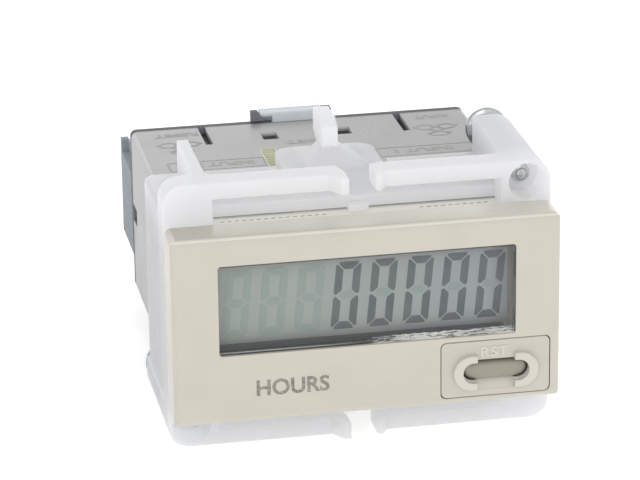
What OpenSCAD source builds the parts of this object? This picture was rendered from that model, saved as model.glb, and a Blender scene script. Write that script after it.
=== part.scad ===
// Self-powered LCD hour meter for a panel cut-out, with its mounting bracket.
// +X is right seen from the front, +Y runs to the rear, +Z is up.
// The origin is the middle of the bezel's rear face, the plane of the panel.

/* [Bezel and case] */
// Width of the front bezel
bezel_w = 48; // [46.5:0.1:52]
// Height of the front bezel
bezel_h = 24; // [23.8:0.1:27]
// Thickness of the bezel in front of the panel
bezel_t = 5; // [4.8:0.1:6]
// Rounding of the bezel's front edges
bezel_edge = 0.8; // [0.3:0.1:1]
// Corner radius of the bezel seen from the front
bezel_corner = 1; // [0.5:0.1:1.5]
// Reach of the bezel beyond the case at each side
lip_x = 1.6; // [1.4:0.1:2]
// Reach of the bezel beyond the case above and below
lip_z = 1; // [0.8:0.1:1.2]
// Depth of the case behind the panel
case_d = 40.3; // [39.5:0.1:46]
// Wall of the case
case_wall = 1.3; // [1:0.1:1.4]
// Wall of the bezel round the window and the key
front_wall = 1.6; // [1.4:0.1:1.8]
// Corner radius of the case's long edges
case_corner = 0.8; // [0.3:0.1:1.2]

/* [Window and display] */
// Width of the bezel at each side of the window
window_side = 5.65; // [5.3:0.05:6.5]
// Height of the bezel above the window
window_head = 3.6; // [3.4:0.1:4]
// Height of the bezel below the window
window_foot = 8.8; // [8.8:0.1:9.2]
// How far the window lies behind the bezel's front
window_recess = 0.4; // [0.2:0.1:0.6]
// Thickness of the window
window_t = 1.2; // [1:0.1:1.2]
// Height of the window above the digits
digit_head = 1.9; // [1.5:0.1:2.4]
// Height of the window below the digits
digit_foot = 1; // [0.8:0.1:1.6]
// Space between two digits
digit_space = 1.35; // [1.2:0.05:1.8]
// Width of a segment's stroke
digit_stroke = 0.95; // [0.6:0.05:1]
// Slant of the digits in degrees
digit_slant = 5.7; // [0:0.1:8]

/* [Key] */
// Width of the key's surround
surround_w = 13.6; // [13:0.1:14]
// Height of the key's surround
surround_h = 7.2; // [6.8:0.1:7.4]
// Distance from the bezel's right edge to the key's middle
key_inset = 8.15; // [8:0.05:8.4]
// Height of the surround's middle above the bezel's bottom
surround_rise = 4.5; // [4.4:0.1:4.6]
// Height of the key's middle above the bezel's bottom
key_rise = 4.3; // [4.1:0.1:4.5]
// Width of the key
key_w = 7.9; // [7:0.1:8]
// Height of the key
key_h = 2.3; // [2:0.1:2.6]
// Travel of the key
key_travel = 0.6; // [0.3:0.1:0.8]
// Height of the guards beside the key
guard_rise = 0.6; // [0.3:0.1:1]

/* [Terminals] */
// Depth of the terminal block behind the case
block_d = 8.7; // [8.5:0.1:10]
// Height of the terminal block
block_h = 12.2; // [12:0.1:12.6]
// Distance from one terminal to the next
terminal_pitch = 7; // [6.9:0.1:7.1]
// Distance from the case's side to the outer terminals
terminal_inset = 5.4; // [5.3:0.1:5.5]
// Diameter of the terminal screws
terminal_screw_d = 3; // [2.6:0.1:3]
// Thickness of the terminal block's flange
flange_t = 1; // [0.8:0.1:1.2]
// Wall of the terminal cover
cover_t = 1.2; // [1:0.1:1.4]

/* [Battery] */
// Diameter of the battery
battery_d = 24.5; // [20:0.1:24.5]
// Thickness of the battery
battery_t = 7.7; // [5:0.1:7.7]

/* [Bracket] */
// How far the bracket's bars stand above and below the bezel
bar_rise = 5; // [4.6:0.1:6]
// Depth of the bracket's sleeve behind its front
sleeve_d = 17.2; // [15:0.1:20]
// Gap between the bracket and the bezel as drawn
bracket_gap = 0.6; // [0.4:0.1:5]
// Clearance between the sleeve and the case
sleeve_gap = 0.3; // [0.2:0.05:0.5]
// Wall of the sleeve's top and bottom
sleeve_t = 1.4; // [1.2:0.1:1.6]
// Thickness of a spring bar from top to bottom
bar_t = 2; // [1.6:0.1:2.4]
// Depth of a spring bar from front to rear
bar_d = 3.5; // [3:0.1:4]
// Reach of the bars' teeth towards the panel
tooth_reach = 1.9; // [1:0.1:2.4]
// Width of a latch's tongue
tongue_w = 12.8; // [11:0.1:14]
// Reach of the tongue behind the sleeve
tongue_reach = 6.9; // [6.4:0.1:8]
// Thickness of a latch's finger fin
finger_t = 2; // [1.4:0.1:2.4]

/* [Clamp screws] */
// Thread diameter of the clamp screws
clamp_d = 2.3; // [2:0.1:3]
// Length of a clamp screw under its head
clamp_len = 18; // [17:0.1:20]
// Head diameter of the clamp screws
clamp_head_d = 5.4; // [5:0.1:5.4]
// Height of the clamp screws' heads
clamp_head_h = 2.2; // [1.6:0.1:2.6]

/* [Hidden] */
$fn = 48;
// Margin by which a cutting tool overshoots the face that it cuts
over = 0.5;
// Clearance between pieces that are put together and stay put
seat = 0.1;
// Clearance of a piece that moves past another
slip = 0.25;

// Case
case_w = bezel_w - 2 * lip_x;
case_h = bezel_h - 2 * lip_z;
terminal_x = case_w / 2 - terminal_inset;
front_y = -bezel_t;
case_in_w = case_w - 2 * case_wall;
case_in_h = case_h - 2 * case_wall;
rear_y = case_d;
slot_x = terminal_x - terminal_pitch / 2 - 0.4;
slot_w = 1;
slot_len = 7.3;
snap_x = 4.85;
snap_w = 2.1;
snap_len = 3.2;
snap_y = rear_y - 5.3;
side_slot_h = 2.3;
side_slot_len = 3.4;
ratchet_x = -6.1;
ratchet_w = 1.8;
ratchet_pitch = 1;
ratchet_depth = 0.4;
ratchet_y = 5;
ratchet_n = 25;

// Key's place on the bezel
key_flange = 0.7;
key_x = bezel_w / 2 - key_inset;
key_z = -bezel_h / 2 + key_rise;
surround_z = -bezel_h / 2 + surround_rise;

// Window, display frame and LCD, from front to rear
window_w = bezel_w - 2 * window_side;
window_h = bezel_h - window_head - window_foot;
window_z = (window_foot - window_head) / 2;
window_y = front_y + window_recess;
frame_y = window_y + window_t;
frame_side_gap = 0.2;
frame_out_w = case_in_w - 2 * frame_side_gap;
frame_top = case_in_h / 2 - seat;
frame_key_gap = 0.7;
frame_bottom = key_z + key_h / 2 + key_flange + frame_key_gap;
frame_lip = 1.9;
lcd_side = 0.7;
lcd_sill = 1.2;
lcd_head = 0.2;
lcd_w = frame_out_w - 2 * lcd_side;
lcd_top = frame_top - lcd_head;
lcd_bottom = frame_bottom + lcd_sill;
reveal = 0.2;
film_inset = 0.3;
glass_t = 1.1;
film_t = 0.2;
film_y = frame_y + frame_lip + 0.05;
glass_y = film_y + film_t;
ledge_h = 1.6;
connector_h = 1.1;
connector_inset = 1;
connector_len = 4;
segment_t = 0.08;
board_t = 1;
board_y = glass_y + 2 * glass_t + connector_len;
board_gap = 0.3;
board_w = case_in_w - 2 * board_gap;
board_h = case_in_h - 2 * board_gap;
digit_n = 8;
lit_n = 5;
digit_gap = 0.12;
digit_x = 0.2;
digit_side = 0.35;
digit_pitch = (window_w - 2 * digit_side) / digit_n;
digit_w = digit_pitch - digit_space;
digit_h = window_h - digit_head - digit_foot;
digit_z = window_z + (digit_foot - digit_head) / 2;
digit_chamfer = 0.25;
waist_apex = 0.4;
waist_inner = 0.6;
waist_outer = 0.22;

// Parts on the rear of the front board
chip_x = -7;
chip_z = 5;
chip_w = 7;
chip_h = 6.2;
chip_t = 1.2;
chip_lift = 0.1;
chip_leads = 5;
lead_pitch = 0.6;
lead_w = 0.35;
lead_t = 0.3;
lead_reach = 0.7;
crystal_x = 3;
crystal_z = 7.2;
crystal_r = 1;
crystal_len = 6;
part_x0 = -17;
part_z0 = -8;
part_x1 = 8;
part_z1 = -6.6;
part_len = 1.8;
part_pitch = 3.2;
part_t = 0.8;
part_h = 1;

// Key and switch
surround_t = 1.2;
surround_corner = 0.7;
key_gap = 0.2;
key_recess = 0.25;
key_y = front_y + key_recess;
key_round = 1;
lip_drop = 0.95;
lip_slope = 1.3;
key_flange_t = 0.8;
guard_w = 1.2;
guard_h = 0.9;
guard_drop = 0.2;
guard_t = 0.15;
guard_split = 4.7;
stem_r = 1.2;
switch_w = 6;
switch_h = 3.2;
switch_t = 2.2;
plunger_r = 0.9;
plunger_gap = 0.05;
plunger_y = board_y - switch_t - 1;

// Battery
battery_y = 21.6;
battery_lift = 5.7;
battery_z = -case_in_h / 2 + battery_lift;
tray_t = 1.2;
tray_rim = 1.1;
tray_w = battery_d + 2 * tray_rim + 0.6;
tray_front = battery_y - battery_d / 2 - tray_rim - 0.3;
contact_w = 4;
contact_t = 0.3;
contact_reach = 4;
contact_lug = 2.5;
tray_lip = 4;
tray_slot = 6;
foot_s = 3;
foot_y = battery_d / 2 - foot_s - 0.25;

// Terminal block and cover
flange_y = rear_y;
block_y = flange_y + flange_t;
block_end = block_y + block_d;
block_w = case_w - 2.8;
plug_len = 5.8;
plug_y = rear_y - plug_len;
bay_plate = 2.6;
plug_wall = 1.2;
bay_w = 6.2;
bay_floor = block_y + bay_plate;
bay_sill = 1.2;
plate_t = 0.8;
plate_s = 6;
washer_t = 0.8;
screw_head_d = 5.2;
screw_head_h = 1.8;
terminal_xs = [for (s = [-1, 1], k = [0, 1]) s * (terminal_x - k * terminal_pitch)];
strip_t = 0.4;
strip_h = 1.6;
strip_z = 6.2;
strip_drop = 3.6;
strip_side_x = terminal_x + 2.4;
strip_inner_x = terminal_x - terminal_pitch + 2.2;
gap_x = 0.6;
gap_w = 8.4;
gap_depth = 1.4;
hinge_y = block_y + 1;
hinge_z = case_h / 2 + 0.7;
barrel_r = 0.6;
pin_r = 0.25;
pin_gap = 0.05;
barrel_x0 = -5;
barrel_x1 = 3.15;
eye_gap = 0.2;
eye_w = 1.2;
eye_t = 1.5;
gusset_t = 0.3;
gusset_w = 0.8;
cover_gap = 0.3;
cover_y = block_end + cover_gap;
cover_end = cover_y + cover_t;
cover_bottom = -block_h / 2 - 0.4;
cover_side_top = 5;
cover_top = block_h / 2 + 0.3;
cover_side_t = 1;
driver_hole_d = 4.6;

// Bracket, its bars, latches and clamp screws
bracket_w = bezel_w;
bracket_h = bezel_h + 2 * bar_rise;
br_y = bracket_gap;
sleeve_rear = br_y + sleeve_d;
wing_rear = br_y + bar_d;
plate_front = wing_rear + 0.5;
sleeve_in_w = case_w + 2 * sleeve_gap;
sleeve_in_h = case_h + 2 * sleeve_gap;
sleeve_out_w = bracket_w - 0.4;
sleeve_top = sleeve_in_h / 2 + sleeve_t;
wing_corner = 2.5;
block_x = bracket_w / 2 - 6.1;
bar_top = bracket_h / 2;
bar_low = bar_top - bar_t;
left_tip = -1.5;
right_tip = 1.95;
fin_x = 5.1 - bracket_w / 2;
fin_t = 1.4;
boss_w = 5.4;
boss_len = 15.2;
boss_round = 2.6;
clamp_x = bracket_w / 2 - 2.9;
clamp_z = bar_top - clamp_head_d / 2;
clamp_run = 0.05;
pocket_r = 2.35;
pocket_depth = 4.2;
clamp_tip_y = br_y + 2.9;
finger_x = 0.5;
finger_front = sleeve_rear + 3.3;
finger_len = 6.3;
finger_rear = finger_front + finger_len;
tab_x = 0.45;
slit_w = 0.7;
slit_len = 8;

// Flat shape helpers: rounded rectangle and stadium from squares and circles
module rounded_rect(w, h, r) {
    square([w - 2 * r, h], center = true);
    square([w, h - 2 * r], center = true);
    for (sx = [-1, 1], sz = [-1, 1])
        translate([sx * (w / 2 - r), sz * (h / 2 - r)])
            circle(r);
}

module stadium(w, h) {
    square([w - h, h], center = true);
    for (s = [-1, 1])
        translate([s * (w - h) / 2, 0])
            circle(h / 2);
}

// Carries a flat shape, drawn as seen from the front, from y0 to y1
module along_y(y0, y1) {
    translate([0, y1, 0])
        rotate([90, 0, 0])
            linear_extrude(y1 - y0)
                children();
}

// Carries a side profile, drawn in Y and Z, from x0 to x1
module along_x(x0, x1) {
    translate([x0, 0, 0])
        rotate([90, 0, 90])
            linear_extrude(x1 - x0)
                children();
}

// Carries a plan, drawn in X and Y, from z0 to z1
module along_z(z0, z1) {
    translate([0, 0, z0])
        linear_extrude(z1 - z0)
            children();
}

module block(x0, x1, y0, y1, z0, z1) {
    translate([x0, y0, z0])
        cube([x1 - x0, y1 - y0, z1 - z0]);
}

module rod_y(x, z, y0, y1, r) {
    translate([x, y1, z])
        rotate([90, 0, 0])
            cylinder(h = y1 - y0, r = r);
}

// Case: bezel and tube in one moulding, open at the rear
module bezel_front() {
    intersection() {
        along_y(front_y, 0)
            rounded_rect(bezel_w, bezel_h, bezel_corner);
        along_x(-bezel_w / 2, bezel_w / 2)
            front_rounded(bezel_h);
        along_z(-bezel_h / 2, bezel_h / 2)
            rotate(-90)
                mirror([0, 1])
                    mirror([1, 0])
                        front_rounded(bezel_w);
    }
}

// Profile of the bezel: its front corners are rounded, its rear corners square
module front_rounded(span) {
    translate([front_y + bezel_edge, -span / 2])
        square([bezel_t - bezel_edge, span]);
    translate([front_y, -span / 2 + bezel_edge])
        square([bezel_t, span - 2 * bezel_edge]);
    for (s = [-1, 1])
        translate([front_y + bezel_edge, s * (span / 2 - bezel_edge)])
            circle(bezel_edge);
}

module ratchet_grooves() {
    pts = [for (i = [0:ratchet_n - 1], p = [[0, 0], [ratchet_pitch - 0.2, -ratchet_depth]])
        [ratchet_y + i * ratchet_pitch + p[0], case_h / 2 + p[1]]];
    end_y = ratchet_y + ratchet_n * ratchet_pitch;
    along_x(ratchet_x - ratchet_w / 2, ratchet_x + ratchet_w / 2)
        polygon(concat(pts, [[end_y, case_h / 2], [end_y, case_h / 2 + over],
            [ratchet_y, case_h / 2 + over]]));
}

module rear_cuts() {
    for (s = [-1, 1])
        block(s * slot_x - slot_w / 2, s * slot_x + slot_w / 2, rear_y - slot_len, rear_y + over,
            case_in_h / 2 - over, case_h / 2 + over);
    for (s = [-1, 1])
        block(s * snap_x - snap_w / 2, s * snap_x + snap_w / 2, snap_y - snap_len / 2,
            snap_y + snap_len / 2, case_in_h / 2 - over, case_h / 2 + over);
}

module key_hole(grow) {
    translate([key_x, key_z])
        stadium(key_w + 2 * (key_flange + grow), key_h + 2 * (key_flange + grow));
}

module case() color([0.83, 0.81, 0.76]) {
    difference() {
        union() {
            bezel_front();
            along_y(-over, rear_y)
                rounded_rect(case_w, case_h, case_corner);
        }
        along_y(front_y - over, 0)
            translate([0, window_z])
                rounded_rect(window_w, window_h, 0.4);
        along_y(front_y + front_wall, rear_y + over)
            translate([0, (case_in_h / 2 + frame_bottom) / 2])
                square([case_in_w, case_in_h / 2 - frame_bottom], center = true);
        along_y(front_y + front_wall + surround_t, rear_y + over)
            square([case_in_w, case_in_h], center = true);
        along_y(front_y - over, front_y + surround_t)
            translate([key_x, surround_z])
                rounded_rect(surround_w + 2 * seat, surround_h + 2 * seat, surround_corner);
        along_y(front_y, 0)
            key_hole(slip);
        rear_cuts();
        rotate([0, 180, 0])
            rear_cuts();
        for (s = [-1, 1])
            block(s * (case_w - case_wall) / 2 - case_wall, s * (case_w - case_wall) / 2 + case_wall,
                rear_y - side_slot_len, rear_y + over, -side_slot_h / 2, side_slot_h / 2);
        ratchet_grooves();
        rotate([0, 180, 0])
            ratchet_grooves();
    }
}

// Clear window, seated in the bezel's opening
module window() color([0.75, 0.8, 0.8, 0.4]) {
    along_y(window_y, frame_y)
        translate([0, window_z])
            rounded_rect(window_w - seat, window_h - seat, 0.35);
}

// Dark frame that lines the window and carries the LCD
module display_frame() color([0.16, 0.17, 0.18]) {
    difference() {
        block(-frame_out_w / 2, frame_out_w / 2, frame_y, board_y, frame_bottom, frame_top);
        along_y(frame_y - over, board_y)
            translate([0, window_z])
                square([window_w - 2 * reveal, window_h - 2 * reveal], center = true);
        block(-lcd_w / 2 - seat, lcd_w / 2 + seat, frame_y + frame_lip, board_y + over,
            lcd_bottom - seat, lcd_top + seat / 2);
    }
}

// LCD: two glasses sealed into one cell, the front one taller to leave the contact ledges
module lcd_glass() color([0.62, 0.66, 0.62]) {
    block(-lcd_w / 2, lcd_w / 2, glass_y, glass_y + glass_t, lcd_bottom, lcd_top);
    block(-lcd_w / 2, lcd_w / 2, glass_y + glass_t, glass_y + 2 * glass_t,
        lcd_bottom + ledge_h, lcd_top - ledge_h);
}

module lcd_polariser() color([0.6, 0.64, 0.6]) {
    block(-lcd_w / 2 + film_inset, lcd_w / 2 - film_inset, film_y, glass_y,
        lcd_bottom + film_inset, lcd_top - film_inset);
}

module lcd_reflector() color([0.7, 0.72, 0.7]) {
    block(-lcd_w / 2 + film_inset, lcd_w / 2 - film_inset, glass_y + 2 * glass_t,
        glass_y + 2 * glass_t + film_t, lcd_bottom + ledge_h + film_inset,
        lcd_top - ledge_h - film_inset);
}

// Ends of a segment, as the distance back from its corner on the inner side, at the apex and outside:
// mitred at a corner of the digit, pinched at its waist, pointed on the middle stroke
end_cuts = [
    [digit_stroke / 2, -waist_apex * digit_stroke / 2, digit_chamfer - digit_stroke / 2],
    [waist_inner, 0, waist_outer],
    [digit_stroke / 2, 0, digit_stroke / 2]];

// One segment from a to b, its outer side on the left of the way, with one end cut for each end
module segment(a, b, cuts) {
    len = norm(b - a);
    h = digit_stroke / 2;
    apex = [cuts[0] == 2 ? 0 : waist_apex * h, cuts[1] == 2 ? 0 : waist_apex * h];
    first = end_cuts[cuts[0]];
    last = end_cuts[cuts[1]];
    translate(a)
        rotate(atan2(b[1] - a[1], b[0] - a[0]))
            polygon([[digit_gap + first[0], -h], [digit_gap + first[1], apex[0]],
                [digit_gap + first[2], h], [len - digit_gap - last[2], h],
                [len - digit_gap - last[1], apex[1]], [len - digit_gap - last[0], -h]]);
}

// The digit's corner points, centred on the origin, before the slant
function digit_corner(i) =
    let (hx = (digit_w - digit_stroke) / 2, hz = (digit_h - digit_stroke) / 2)
        [[-hx, hz], [hx, hz], [hx, 0], [hx, -hz], [-hx, -hz], [-hx, 0]][i];
// Each segment's two corners and two end cuts
segments = [[0, 1, 0, 0], [1, 2, 0, 1], [2, 3, 1, 0], [3, 4, 0, 0], [4, 5, 0, 1], [5, 0, 1, 0], [5, 2, 2, 2]];

module digit(kept) {
    slant = tan(digit_slant);
    multmatrix([[1, slant, 0, 0], [0, 1, 0, 0], [0, 0, 1, 0], [0, 0, 0, 1]])
        for (i = kept)
            segment(digit_corner(segments[i][0]), digit_corner(segments[i][1]), [segments[i][2], segments[i][3]]);
}

module digit_row(from, to, kept) {
    along_y(film_y - segment_t, film_y)
        for (k = [from:to])
            translate([digit_x + (k - (digit_n - 1) / 2) * digit_pitch, digit_z])
                digit(kept);
}

module lit_segments() color([0.2, 0.22, 0.22]) {
    digit_row(digit_n - lit_n, digit_n - 1, [0, 1, 2, 3, 4, 5]);
}

module idle_segments() color([0.58, 0.61, 0.58]) {
    digit_row(0, digit_n - lit_n - 1, [0, 1, 2, 3, 4, 5, 6]);
    digit_row(digit_n - lit_n, digit_n - 1, [6]);
}

module elastomer_connectors() color([0.85, 0.72, 0.6]) {
    for (z0 = [lcd_bottom + reveal, lcd_top - reveal - connector_h])
        block(-lcd_w / 2 + connector_inset, lcd_w / 2 - connector_inset, glass_y + glass_t, board_y,
            z0, z0 + connector_h);
}

module front_board() color([0.2, 0.42, 0.26]) {
    block(-board_w / 2, board_w / 2, board_y, board_y + board_t, -board_h / 2, board_h / 2);
}

module controller_chip() color([0.1, 0.1, 0.11]) {
    translate([chip_x, board_y + board_t, chip_z]) {
        translate([-chip_w / 2, chip_lift, -chip_h / 2])
            cube([chip_w, chip_t, chip_h]);
        for (k = [-chip_leads:chip_leads])
            translate([k * lead_pitch - lead_w / 2, 0, -chip_h / 2 - lead_reach])
                cube([lead_w, lead_t, chip_h + 2 * lead_reach]);
    }
}

module quartz_crystal() color([0.75, 0.76, 0.78]) {
    translate([crystal_x, board_y + board_t + crystal_r, crystal_z])
        rotate([0, 90, 0])
            cylinder(h = crystal_len, r = crystal_r);
}

// One row of chip components on the rear of the front board
module chip_row(x0, z0, n, len, pitch) {
    for (k = [0:n - 1])
        block(x0 + k * pitch, x0 + k * pitch + len, board_y + board_t, board_y + board_t + part_t,
            z0, z0 + part_h);
}

module chip_components() color([0.55, 0.45, 0.35]) {
    chip_row(part_x0, part_z0, 5, part_len, part_pitch);
    chip_row(part_x1, part_z1, 3, part_len, part_pitch);
}

module reset_switch() color([0.13, 0.13, 0.14]) {
    difference() {
        block(key_x - switch_w / 2, key_x + switch_w / 2, board_y - switch_t, board_y,
            key_z - switch_h / 2, key_z + switch_h / 2);
        rod_y(key_x, key_z, board_y - switch_t - over, board_y - 0.4, plunger_r + plunger_gap);
    }
}

module switch_plunger() color([0.85, 0.83, 0.78]) {
    rod_y(key_x, key_z, plunger_y, board_y - 0.4 - key_travel - 0.1, plunger_r);
}

// Surround of the key: a rounded plate with two raised C-shaped guards and a slope below the key
module key_surround() color([0.84, 0.82, 0.77]) {
    hole_w = key_w + 2 * key_gap;
    hole_h = key_h + 2 * key_gap;
    slope_top = key_z - hole_h / 2;
    difference() {
        along_y(front_y, front_y + surround_t)
            translate([key_x, surround_z])
                rounded_rect(surround_w, surround_h, surround_corner);
        along_y(front_y - over, front_y + surround_t + over)
            translate([key_x, key_z])
                stadium(hole_w, hole_h);
        along_x(key_x - guard_split / 2, key_x + guard_split / 2)
            polygon([[front_y - over, slope_top - lip_slope], [front_y, slope_top - lip_slope],
                [front_y + lip_drop, slope_top], [front_y + lip_drop, key_z], [front_y - over, key_z]]);
    }
    difference() {
        along_y(front_y - guard_rise, front_y + guard_t)
            translate([key_x, key_z - guard_drop])
                stadium(hole_w + 2 * guard_w, hole_h + 2 * guard_h);
        along_y(front_y - guard_rise - over, front_y + guard_t + over)
            translate([key_x, key_z - guard_drop])
                stadium(hole_w, hole_h);
        block(key_x - guard_split / 2, key_x + guard_split / 2, front_y - guard_rise - over,
            front_y + guard_t + over, key_z - surround_h, key_z + surround_h);
    }
}

// Key: rounded back along its upper edge, full along its lower one
module reset_key() color([0.68, 0.66, 0.6]) {
    flange_front = front_y + surround_t + 0.1;
    flange_rear = flange_front + key_flange_t;
    top = key_z + key_h / 2;
    intersection() {
        along_y(key_y, flange_rear)
            translate([key_x, key_z])
                stadium(key_w, key_h);
        along_x(key_x - key_w, key_x + key_w) {
            translate([key_y + key_round, top - key_round])
                circle(key_round);
            translate([key_y + key_round, key_z - key_h])
                square([bezel_t, top - key_z + key_h]);
            translate([key_y, key_z - key_h])
                square([key_round + over, top - key_round - key_z + key_h]);
        }
    }
    along_y(flange_front, flange_rear)
        key_hole(0);
    rod_y(key_x, key_z, flange_front, plunger_y, stem_r);
}

module battery() color([0.78, 0.79, 0.8]) {
    translate([0, battery_y, battery_z]) {
        cylinder(h = battery_t - 0.6, d = battery_d, $fn = 96);
        cylinder(h = battery_t, d = battery_d - 2.4, $fn = 96);
    }
}

module battery_tray() color([0.9, 0.9, 0.88]) {
    difference() {
        union() {
            block(-tray_w / 2, tray_w / 2, board_y + board_t + 0.1, plug_y - 0.1,
                battery_z - tray_t, battery_z);
            translate([0, battery_y, battery_z - tray_t])
                cylinder(h = tray_t + tray_lip, d = battery_d + 0.4 + 2 * tray_rim, $fn = 96);
            for (sx = [-1, 1], y = [battery_y - foot_y, battery_y + foot_y])
                block(sx * tray_w / 2 - foot_s / 2, sx * tray_w / 2 + foot_s / 2, y - foot_s / 2, y + foot_s / 2,
                    -case_in_h / 2 + seat, battery_z);
        }
        translate([0, battery_y, battery_z])
            cylinder(h = tray_lip + over, d = battery_d + 0.4, $fn = 96);
        block(-contact_w / 2 - seat, contact_w / 2 + seat, board_y, battery_y + tray_slot,
            battery_z - contact_t - seat / 2, battery_z + tray_lip + over);
    }
}

module battery_contact_plus() color([0.8, 0.78, 0.7]) {
    top = battery_z + battery_t;
    block(-contact_w / 2, contact_w / 2, board_y + board_t, battery_y + contact_reach, top, top + contact_t);
    block(-contact_w / 2, contact_w / 2, board_y + board_t, board_y + board_t + contact_t,
        top - contact_lug, top + contact_t);
}

module battery_contact_minus() color([0.8, 0.78, 0.7]) {
    block(-contact_w / 2, contact_w / 2, board_y + board_t, battery_y + contact_reach,
        battery_z - contact_t, battery_z);
}

// Snap hook and guide ribs on the terminal block's plug, one broad side
module plug_side() {
    for (s = [-1, 1]) {
        along_x(s * snap_x - snap_w / 2 + 0.15, s * snap_x + snap_w / 2 - 0.15)
            polygon([[snap_y - snap_len / 2 + 0.2, case_in_h / 2 - 0.6],
                [snap_y - snap_len / 2 + 0.2, case_in_h / 2],
                [snap_y + snap_len / 2 - 0.2, case_in_h / 2 + 0.7],
                [snap_y + snap_len / 2 - 0.2, case_in_h / 2 - 0.6]]);
        block(s * slot_x - slot_w / 2 + seat, s * slot_x + slot_w / 2 - seat,
            plug_y, flange_y + seat, case_in_h / 2 - 0.6, case_in_h / 2 + 0.4);
    }
}

// Eyes on the flange's top edge that carry the cover's hinge pin, the left one with a gusset
module hinge_eyes() {
    top = hinge_z + 0.35;
    foot = case_h / 2 - 2;
    left = barrel_x0 - eye_gap;
    right = barrel_x1 + eye_gap;
    difference() {
        for (x0 = [left - eye_w + 0.3, right])
            block(x0, x0 + (x0 < 0 ? eye_w - 0.3 : eye_w), block_y - 0.1, block_y + eye_t, foot, top);
        translate([0, hinge_y, hinge_z])
            rotate([0, 90, 0])
                cylinder(h = case_w / 2, r = pin_r + pin_gap, center = true);
    }
    along_y(block_y - 0.1, block_y + gusset_t)
        polygon([[left - gusset_t, foot], [left - gusset_t, top], [left, top],
            [left + gusset_w, case_h / 2], [left + gusset_w, foot]]);
}

// One terminal bay, open at the top and to the rear, with its screw's blind hole
module terminal_bay(x) {
    block(x - bay_w / 2, x + bay_w / 2, bay_floor, block_end + over,
        -block_h / 2 + bay_sill, block_h / 2 + over);
    rod_y(x, 0, bay_floor - 2.6, bay_floor + over, terminal_screw_d / 2 + 0.25);
}

module strip_slots() {
    for (s = [-1, 1]) {
        block(s * strip_side_x - strip_t / 2 - seat, s * strip_side_x + strip_t / 2 + seat,
            plug_y - over, bay_floor + over, -strip_h / 2 - seat, strip_h / 2 + seat);
        block(s * strip_inner_x - strip_t / 2 - seat, s * strip_inner_x + strip_t / 2 + seat,
            plug_y - over, bay_floor + over, strip_z - strip_drop - seat, strip_z + seat - 2);
    }
}

// Terminal block: flange and plug that close the case, four terminal bays behind
module terminal_block() color([0.23, 0.24, 0.27]) {
    plug_w = case_in_w - 2 * seat;
    plug_h = case_in_h - 2 * seat;
    difference() {
        union() {
            along_y(flange_y, block_y)
                rounded_rect(case_w, case_h, case_corner);
            block(-block_w / 2, block_w / 2, flange_y, block_end, -block_h / 2, block_h / 2);
            block(-block_w / 2 + 6, block_w / 2 - 6, flange_y, block_y + eye_t - 0.3,
                0, case_h / 2 - gap_depth);
            difference() {
                block(-plug_w / 2, plug_w / 2, plug_y, flange_y + over / 2, -plug_h / 2, plug_h / 2);
                block(-plug_w / 2 + plug_wall, plug_w / 2 - plug_wall, plug_y - over, flange_y,
                    -plug_h / 2 + plug_wall, plug_h / 2 - plug_wall);
            }
            plug_side();
            rotate([0, 180, 0])
                plug_side();
        }
        block(gap_x - gap_w / 2, gap_x + gap_w / 2, flange_y - over, block_y + over,
            case_h / 2 - gap_depth, case_h / 2 + over);
        for (x = terminal_xs)
            terminal_bay(x);
        strip_slots();
    }
    hinge_eyes();
}

// Sheet-metal strips from the terminal plates to the front board
module contact_strips() color([0.8, 0.78, 0.7]) {
    for (s = [-1, 1]) {
        block(s * strip_side_x - strip_t / 2, s * strip_side_x + strip_t / 2,
            board_y + board_t, bay_floor, -strip_h / 2, strip_h / 2);
        block(s * strip_inner_x - strip_t / 2, s * strip_inner_x + strip_t / 2,
            plug_y - 2, bay_floor, strip_z - strip_drop, strip_z - 2);
        block(s * strip_inner_x - strip_t / 2, s * strip_inner_x + strip_t / 2,
            plug_y - 2, plug_y - 0.4, strip_z - strip_drop, strip_z);
        block(s * strip_inner_x - strip_t / 2, s * strip_inner_x + strip_t / 2,
            board_y + board_t, plug_y - 0.4, strip_z - strip_h, strip_z);
    }
}

module terminal_plates() color([0.8, 0.78, 0.7]) {
    for (x = terminal_xs)
        difference() {
            block(x - plate_s / 2, x + plate_s / 2, bay_floor, bay_floor + plate_t,
                -plate_s / 2 - 1, plate_s / 2 + 1);
            rod_y(x, 0, bay_floor - over, bay_floor + plate_t + over, terminal_screw_d / 2 + 0.05);
        }
}

module clamp_washers() color([0.78, 0.78, 0.76]) {
    y0 = bay_floor + plate_t;
    for (x = terminal_xs)
        difference() {
            block(x - plate_s / 2 + 0.2, x + plate_s / 2 - 0.2, y0, y0 + washer_t,
                -plate_s / 2 + 0.2, plate_s / 2 - 0.2);
            rod_y(x, 0, y0 - over, y0 + washer_t + over, terminal_screw_d / 2 + 0.1);
        }
}

// Cross recess of a screw head, cut from its outer face at y1
module cross_recess(x, z, y1, reach) {
    for (a = [0, 90])
        translate([x, y1, z])
            rotate([0, a + 45, 0])
                translate([-reach, -1.1, -0.35])
                    cube([2 * reach, 1.1 + over, 0.7]);
}

module terminal_screws() color([0.75, 0.76, 0.78]) {
    y0 = bay_floor + plate_t + washer_t;
    for (x = terminal_xs)
        difference() {
            union() {
                rod_y(x, 0, bay_floor - 2.2, y0 + 0.2, terminal_screw_d / 2);
                rod_y(x, 0, y0, y0 + screw_head_h, screw_head_d / 2);
            }
            cross_recess(x, 0, y0 + screw_head_h, 1.5);
        }
}

// Barrel and pin on which the terminal cover turns
module hinge_barrel() {
    pin_reach = 0.8;
    translate([barrel_x0, hinge_y, hinge_z])
        rotate([0, 90, 0])
            cylinder(h = barrel_x1 - barrel_x0, r = barrel_r);
    translate([barrel_x0 - pin_reach, hinge_y, hinge_z])
        rotate([0, 90, 0])
            cylinder(h = barrel_x1 - barrel_x0 + 2 * pin_reach, r = pin_r);
}

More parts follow.
